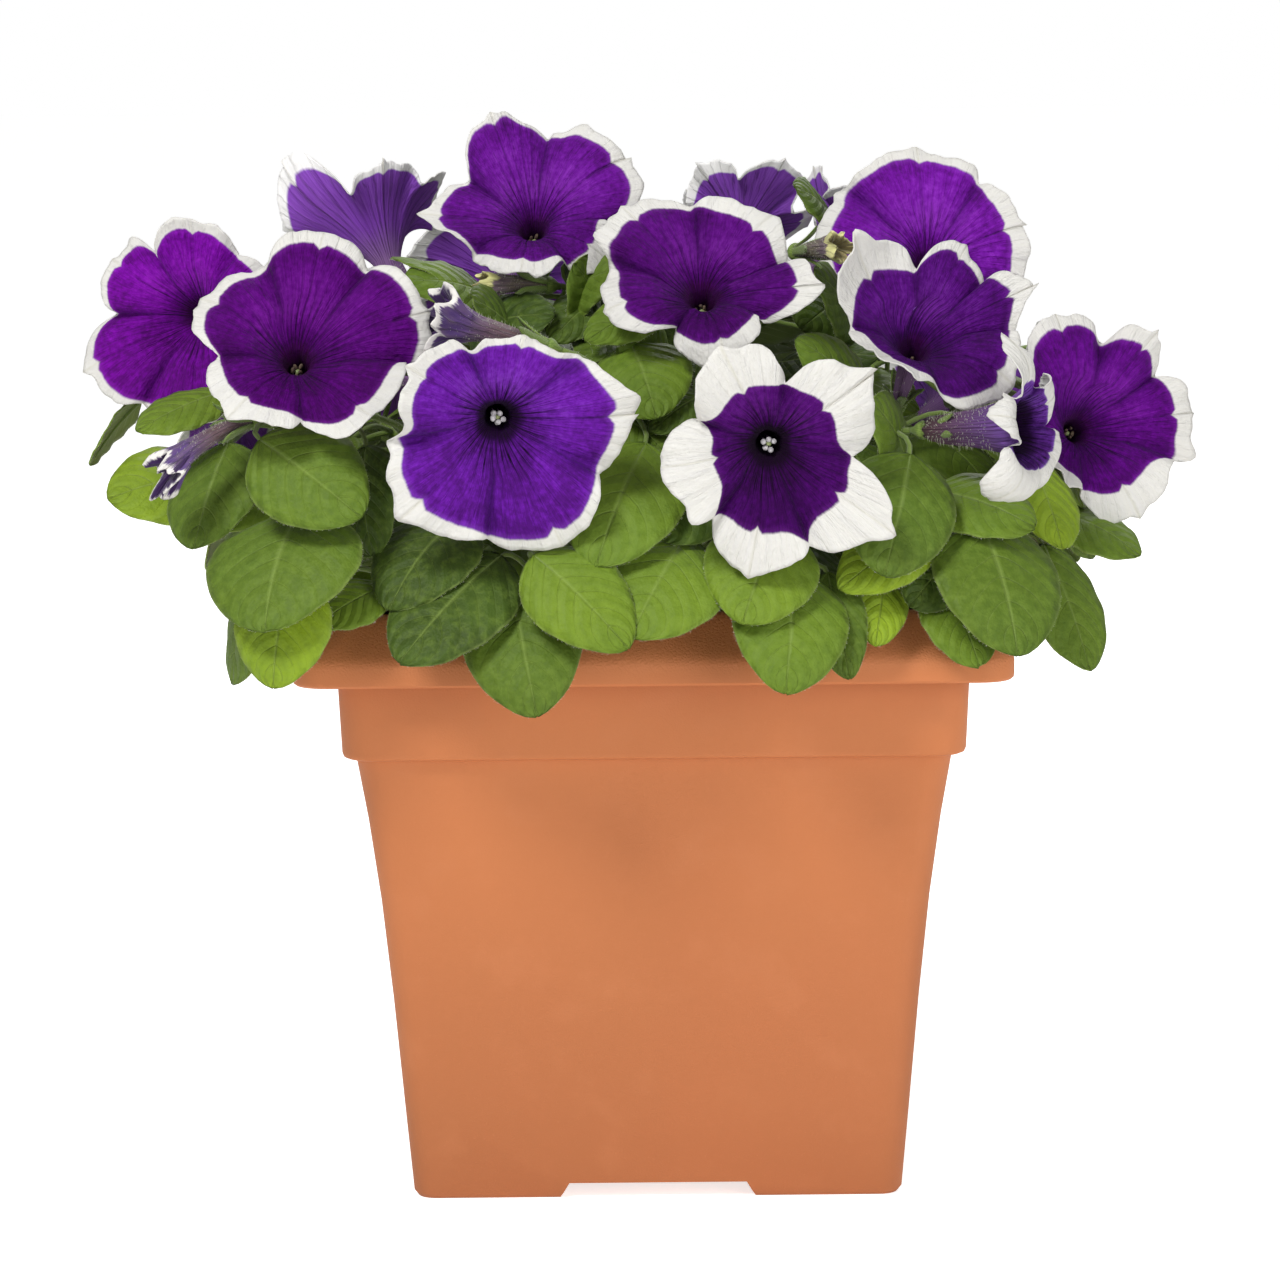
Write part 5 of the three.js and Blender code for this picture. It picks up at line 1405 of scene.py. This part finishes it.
def grow_stems():
    """Every shoot: the stretches that leaves may grow from, its smooth stems and its flower ends."""
    stems = {}
    for name, (root, ends) in SHOOTS.items():
        coarse = main_curve(root, ends[0], STEM_STEPS)
        axis = [coarse[i:i + 2] for i in range(1, len(coarse) - 2)]
        smooth = [(main_curve(root, ends[0], STEM_STEPS * SMOOTH_STEPS), STEM_BASE_RADIUS, PEDICEL_RADIUS)]
        for i, end in enumerate(ends[1:], 1):
            branch = branch_curve(coarse[2 + i], end, BRANCH_STEPS)
            axis += [branch[j:j + 2] for j in range(len(branch) - 2)]
            fine = branch_curve(coarse[2 + i], end, BRANCH_STEPS * SMOOTH_STEPS)
            smooth.append((fine, BRANCH_RADIUS, PEDICEL_RADIUS))
        stems[name] = dict(axis=axis, smooth=smooth, ends=ends, leaves=[])
    for i, azimuth in enumerate(LOW_SHOOTS, 1):
        coarse = low_curve(azimuth, STEM_STEPS)
        axis = [coarse[j:j + 2] for j in range(1, len(coarse) - 1)]
        smooth = [(low_curve(azimuth, STEM_STEPS * SMOOTH_STEPS), STEM_BASE_RADIUS, LOW_END_RADIUS)]
        stems[f"shoot_low_{i}"] = dict(axis=axis, smooth=smooth, ends=[], leaves=[])
    return stems


def leaf_axes(leaf):
    base, tip = leaf["base"], leaf["tip"]
    length = np.linalg.norm(tip - base)
    along = (tip - base) / length
    middle = (base + tip) / 2
    outward = unit(vector(middle[0] * 0.5, middle[1], 0))
    face = outward * 0.75 + UP * 0.65
    face = unit(face - along * np.dot(face, along))
    face = turned(face, along, math.radians(leaf["roll"]))
    return base, along, face, np.cross(face, along), length


def blade_width(share):
    return 2.246 * share ** 0.55 * (1 - share) ** 0.62


def blade_points(leaf, share, side):
    """Points of the blade, from stalk to tip and from one margin to the other."""
    base, along, face, across, length = leaf_axes(leaf)
    share, side = np.broadcast_arrays(np.atleast_1d(share).astype(float), np.atleast_1d(side).astype(float))
    width = blade_width(share)
    arch = leaf["arch"] * length * 4 * share * (1 - share)
    margin = LEAF_SAG * leaf["width"] * side ** 2 * width
    wave = leaf["wave"] * side ** 2 * np.sin(7 * share + leaf["phase"] + side)
    half = leaf["width"] / 2 * width
    return (base + along * (length * share)[:, None] + across * (half * side)[:, None]
            + face * (arch - margin + wave)[:, None])


def listed_leaf(row):
    return dict(base=vector(*row[:3]), tip=vector(*row[3:6]), width=row[6], roll=row[7])


def all_leaves():
    """Every leaf that the solids may hold, drawn in the same order."""
    leaves = [listed_leaf(row) for row in FRONT_LEAVES]
    draw = drawer(20260)
    for level, (height, beyond, reach, count, droop, length, width, everywhere) in enumerate(LEAF_ROWS):
        for i in range(count):
            azimuth = 360 * (i + 0.5 * (level % 2)) / count + 8 * (draw() - 0.5)
            swing = 60 * (draw() - 0.5)
            hang = droop + 20 * (draw() - 0.5)
            size = 0.86 + 0.24 * draw()
            shift = 10 * (draw() - 0.5)
            roll = 30 * (draw() - 0.5)
            from_front = abs((azimuth + 180) % 360 - 180)
            if height < HAND_TOP and from_front < HAND_SPAN and not everywhere:
                continue
            out = reach if beyond is None else rim_reach(azimuth) + beyond
            middle = facing(azimuth, 0) * out + UP * (height + shift)
            along = facing(azimuth + swing, -hang) * (length * size / 2)
            leaves.append(dict(base=middle - along, tip=middle + along, width=width * size, roll=roll))
    draw = drawer(7411)
    for leaf in leaves:
        leaf.update(arch=0.04 + 0.08 * draw(), wave=0.6 * draw(), phase=6 * draw())
    return leaves


def bent_clear(leaf, attempt):
    push = PUSHES[attempt % len(PUSHES)]
    roll = ROLLS[attempt // len(PUSHES) % len(ROLLS)]
    size = 1 if attempt < len(PUSHES) * len(ROLLS) else SMALLER
    base, along, face, _, length = leaf_axes(leaf)
    base = base + face * push
    return dict(leaf, base=base, tip=base + along * length * size, width=leaf["width"] * size,
                roll=leaf["roll"] + roll)


def nearest_stem(stems, leaf):
    """The stem that a leaf grows from, and the point on it."""
    base, along, _, _, _ = leaf_axes(leaf)
    spot = base - UP * STALK_DROP
    best = (math.inf, None, None)
    for name, stem in stems.items():
        for start, end in stem["axis"]:
            way = end - start
            share = min(max(np.dot(spot - start, way) / np.dot(way, way), 0), 1)
            point = start + way * share
            turn = np.dot(unit(base - point), along)
            cost = np.linalg.norm(point - spot) * (BEHIND - turn)
            if turn > SHARPEST_TURN and cost < best[0]:
                best = (cost, name, point)
    return best[1:]


def plant_leaves(stems):
    """Puts each leaf where the solids hold it. One that was bent clear is found by its margin's points."""
    corners = [v.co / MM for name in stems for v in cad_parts[name].data.vertices]
    tree = kdtree.KDTree(len(corners))
    for i, corner in enumerate(corners):
        tree.insert(corner, i)
    tree.balance()
    shares = np.array([*LEAF_STATIONS, *LEAF_STATIONS, 1])
    sides = np.array([-1, -1, -1, 1, 1, 1, 0])
    for number, leaf in enumerate(all_leaves()):
        for attempt in range(TRIES):
            bent = bent_clear(leaf, attempt)
            found = [tree.find(point)[2] < SAME_PLACE for point in blade_points(bent, shares, sides)]
            if sum(found) >= POINTS_TO_MATCH:
                name, point = nearest_stem(stems, bent)
                stems[name]["leaves"].append((number, bent, point))
                break
    for number, row in enumerate(FILL_LEAVES):
        leaf = dict(listed_leaf(row), arch=0.08, wave=0.5, phase=1.7 * number)
        name, point = nearest_stem(stems, leaf)
        stems[name]["leaves"].append((FILL_NUMBER + number, leaf, point))


def ovate(share):
    """Half the width of a broad ovate blade against that of the plainer solid one."""
    return 1.15 * (1 + 0.2 * (0.42 - share))


def fine_blade(leaf):
    """The blade's points with quilting between the side veins, a groove on the midrib and a wavy margin."""
    _, _, face, _, _ = leaf_axes(leaf)

    def place(u, v):
        side = 2 * u - 1
        share = np.interp(v, [0, 0.06, 0.94, 1], [0.002, 0.035, 0.972, 0.9995])
        points = blade_points(leaf, share, side * ovate(share))
        outward = np.abs(side)
        width = blade_width(share) * leaf["width"] / 2
        run = v * SIDE_VEINS - outward ** 1.35 * 2.3
        off = np.abs(run - np.rint(run)) * 2
        quilt = 0.5 * off * outward * (1 - outward) * 1.3
        groove = -0.55 * np.exp(-(outward / 0.14) ** 2) * (1 - 0.6 * share)
        crimp = 0.35 * outward ** 4 * np.sin(26 * share + 5 * side + leaf["phase"])
        rise = (quilt + groove + crimp) * np.minimum(width / 4, 1)
        return points + face * (rise + 0.35)[:, None]

    return place


def build_leaf(number, leaf, start, path_points, chance):
    """One leaf: its blade as an open sheet, and its stalk with the midrib under the blade."""
    base, along, face, _, _ = leaf_axes(leaf)
    outermost = np.abs(leaf["tip"][:2]).max()
    # Leaves deep inside get a lower tone: painted shade.
    deep = np.clip((DEEP_INSIDE - outermost) / DEEP_INSIDE, 0, 1)
    tone = 0.46 + 0.2 * chance.uniform(-1, 1) - 0.7 * deep
    if number in YELLOW_LEAVES:
        tone = 0.92
    if number in DARK_LEAVES:
        tone = 0.12
    blade = sheet("blade", LEAF_COLUMNS, LEAF_ROWS_FINE, fine_blade(leaf), [LEAF_UNDER, LEAF_TOP], tone)
    nearest = path_points[np.argmin(np.linalg.norm(path_points - start, axis=1))]
    reach = np.linalg.norm(base - nearest)
    stalk = cubic(nearest, nearest + (base - nearest) * 0.4 + UP * 0.1 * reach, base - along * 0.35 * reach,
                  base + along * 1.2, 7)
    rib_shares = np.linspace(0.06, 0.9, 9)
    rib = blade_points(leaf, rib_shares, 0.0) - face * 0.25
    path = np.vstack([stalk, rib])
    radii = np.concatenate([np.linspace(1.05, 0.95, len(stalk)), np.linspace(0.85, 0.25, len(rib))])
    return blade, tube("stalk", path, radii, 6, STEM, tone)


def leaf_hairs(leaf, chance):
    """Fine hairs along both margins of a blade."""
    count = int(LEAF_HAIRS_PER_LENGTH * np.linalg.norm(leaf["tip"] - leaf["base"]))
    _, along, face, across, _ = leaf_axes(leaf)
    share = chance.uniform(0.04, 0.98, count * 2)
    side = np.repeat([-1.0, 1.0], count)
    place = fine_blade(leaf)
    roots = place((side + 1) / 2, share)
    ways = across * side[:, None] + along * 0.35 + face * chance.normal(0, 0.35, (count * 2, 1))
    return roots, ways, chance.uniform(0.4, 0.9, count * 2)


def stem_hairs(path, radii, chance):
    """Fine hairs all round a stem."""
    lengths = np.linalg.norm(np.diff(path, axis=0), axis=1)
    count = int(lengths.sum() * STEM_HAIRS_PER_LENGTH)
    spots = np.sort(chance.uniform(0, len(path) - 1.001, count))
    i = spots.astype(int)
    part = (spots - i)[:, None]
    sides, across = side_frames(path)
    angle = chance.uniform(0, 2 * math.pi, (count, 1))
    out = sides[i] * np.cos(angle) + across[i] * np.sin(angle)
    roots = path[i] * (1 - part) + path[i + 1] * part + out * radii[i][:, None]
    return roots, out + chance.normal(0, 0.2, (count, 3)), chance.uniform(0.7, 1.5, count)


def build_calyx(name, chance):
    """A green cup with five long sepals, and the roots and ways of its hairs."""
    (base, forward, across, upward), roll = base_of(name)
    cup = tube("cup", base + forward * np.array(CUP_HEIGHTS)[:, None], np.array(CUP_RADII), 15, SEPAL)
    parts = []
    roots, ways = [], []
    for i in range(5):
        angle = math.radians(roll + 36) + i * 2 * math.pi / 5 + chance.uniform(-0.1, 0.1)
        spread = SEPAL_REACH + chance.uniform(-0.6, 1.2)
        length = SEPAL_LENGTH * chance.uniform(0.9, 1.1)
        radial = across * math.cos(angle) + upward * math.sin(angle)
        sideways = np.cross(forward, radial)

        def place(u, v, radial=radial, sideways=sideways, spread=spread, length=length):
            side = 2 * u - 1
            width = SEPAL_WIDTH / 2 * (0.75 + 1.1 * v) * np.sqrt(np.maximum(1 - v ** 2.6, 0.0004)) * 0.8
            out = SEPAL_START + (spread - SEPAL_START) * (0.35 * v + 0.65 * v ** 2) - 0.5 * side ** 2
            centre = base + forward * (-0.6 + length * v)[:, None] + radial * out[:, None]
            return centre + sideways * (width * side)[:, None]

        parts.append(sheet("sepal", SEPAL_COLUMNS, SEPAL_ROWS, place, [SEPAL, SEPAL]))
        on_margins = chance.integers(0, 2, SEPAL_HAIRS // 2).astype(float)
        u = np.concatenate([on_margins, chance.uniform(0, 1, SEPAL_HAIRS // 2)])
        roots.append(place(u, chance.uniform(0.05, 1, SEPAL_HAIRS)))
        outward = radial + sideways * (2 * u - 1)[:, None] * 0.9 + forward * 0.2
        ways.append(outward + chance.normal(0, 0.25, (SEPAL_HAIRS, 3)))
    roots, ways = np.vstack(roots), np.vstack(ways)
    return cup, parts, (roots, ways, chance.uniform(0.6, 1.3, len(roots)))


def build_shoot(name, stem, chance):
    """A leafy stem with its calyces, leaves and hairs as one piece."""
    solids, blades, sepals, fuzz = [], [], [], []
    for path, thick, thin in stem["smooth"]:
        radii = np.linspace(thick, thin, len(path))
        solids.append(tube("stem", path, radii, 8, STEM))
        fuzz.append(stem_hairs(path, radii, chance))
    path_points = np.vstack([path[1:] for path, _, _ in stem["smooth"]])
    for end in stem["ends"]:
        cup, leaves, hair = build_calyx(end, chance)
        solids.append(cup)
        sepals += leaves
        fuzz.append(hair)
    for number, leaf, start in stem["leaves"]:
        blade, stalk = build_leaf(number, leaf, start, path_points, chance)
        blades.append(blade)
        solids.append(stalk)
        fuzz.append(leaf_hairs(leaf, chance))
    thin_parts = []
    if blades:
        thin_parts.append(thickened(joined("blades", blades), LEAF_THICKNESS))
    if sepals:
        thin_parts.append(thickened(joined("sepals", sepals), SEPAL_THICKNESS))
    roots, ways, lengths = (np.concatenate(lists) for lists in zip(*fuzz))
    solids.append(hairs(roots, ways, lengths, GREEN_HAIR_RADIUS))
    return joined(name.replace("shoot", "leafy_shoot"), thin_parts + solids)


# Putting it together

def shown_for(piece, node):
    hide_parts(node)
    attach(piece, "root")


chance = np.random.default_rng(23)
shown_for(build_pot(), "pot")
shown_for(build_soil(chance), "soil")
for name, bloom in BLOOMS.items():
    shown_for(build_bloom(name, bloom, chance), name)
for name, bud in BUDS.items():
    shown_for(build_bud(name, bud, chance), name)
stems = grow_stems()
plant_leaves(stems)
for name, stem in stems.items():
    shown_for(build_shoot(name, stem, chance), name)
for mesh, _ in grids.values():
    bpy.data.meshes.remove(mesh)


# Floor, light and camera

def build_floor():
    """A white floor that glows, so that it ends without a horizon, and lights the plant less than that."""
    bpy.ops.object.select_all(action="DESELECT")
    bpy.ops.mesh.primitive_plane_add(size=FLOOR_SIZE, location=(0, 0, -FLOOR_DROP))
    floor = bpy.context.object
    floor.name = "studio_floor"
    finish = Finish("studio_floor", Roughness=0.9, Specular_IOR_Level=0.05, Emission_Strength=0.75)
    clouds = finish.noise(finish.place(), 3.0)
    pale = finish.mixed(clouds, srgb(250, 250, 250), srgb(252, 252, 251))
    seen = finish.node("LightPath", {}, {}, "Is Camera Ray")
    finish.drive("Base Color", pale)
    finish.drive("Emission Color", finish.mixed(seen, (FLOOR_GLOW, FLOOR_GLOW, FLOOR_GLOW, 1), pale))
    floor.data.materials.append(finish.material)


def add_light(name, place, size, power):
    bpy.ops.object.select_all(action="DESELECT")
    bpy.ops.object.light_add(type="AREA", location=place)
    light = bpy.context.object
    light.name = name
    light.data.shape = "DISK"
    light.data.size = size
    light.data.energy = power
    away = np.array(place) - np.array(LAMP_TARGET)
    flat = math.hypot(away[0], away[1])
    light.rotation_euler = (math.atan2(flat, away[2]), 0, math.atan2(away[0], -away[1]))


def add_surround():
    """An even white room, which lights the plant less than the camera sees of it."""
    world = bpy.data.worlds.new("studio")
    world.use_nodes = True
    tree = world.node_tree
    surround = next(n for n in tree.nodes if n.type == "BACKGROUND")
    surround.inputs["Color"].default_value = (1, 1, 1, 1)
    rays = tree.nodes.new("ShaderNodeLightPath")
    strength = tree.nodes.new("ShaderNodeMapRange")
    tree.links.new(rays.outputs["Is Camera Ray"], strength.inputs[0])
    strength.inputs[3].default_value = ROOM_LIGHT
    tree.links.new(strength.outputs[0], surround.inputs["Strength"])
    bpy.context.scene.world = world


def add_camera():
    back = facing(0, VIEW_ELEVATION)
    place = (VIEW_TARGET + back * VIEW_DISTANCE) * MM
    bpy.ops.object.camera_add()
    camera = bpy.context.object
    camera.matrix_world = (Matrix.Translation(place)
                           @ Matrix.Rotation(math.radians(90 - VIEW_ELEVATION), 4, "X")
                           @ Matrix.Rotation(math.radians(-VIEW_ROLL), 4, "Z"))
    camera.data.angle = 2 * math.atan(PHOTO_SIDE / 2 / FOCAL_LENGTH_PIXELS)
    bpy.context.scene.camera = camera


build_floor()
for name, lamp in LAMPS.items():
    add_light(name, *lamp)
add_surround()
bpy.context.scene.view_settings.view_transform = "Standard"
add_camera()
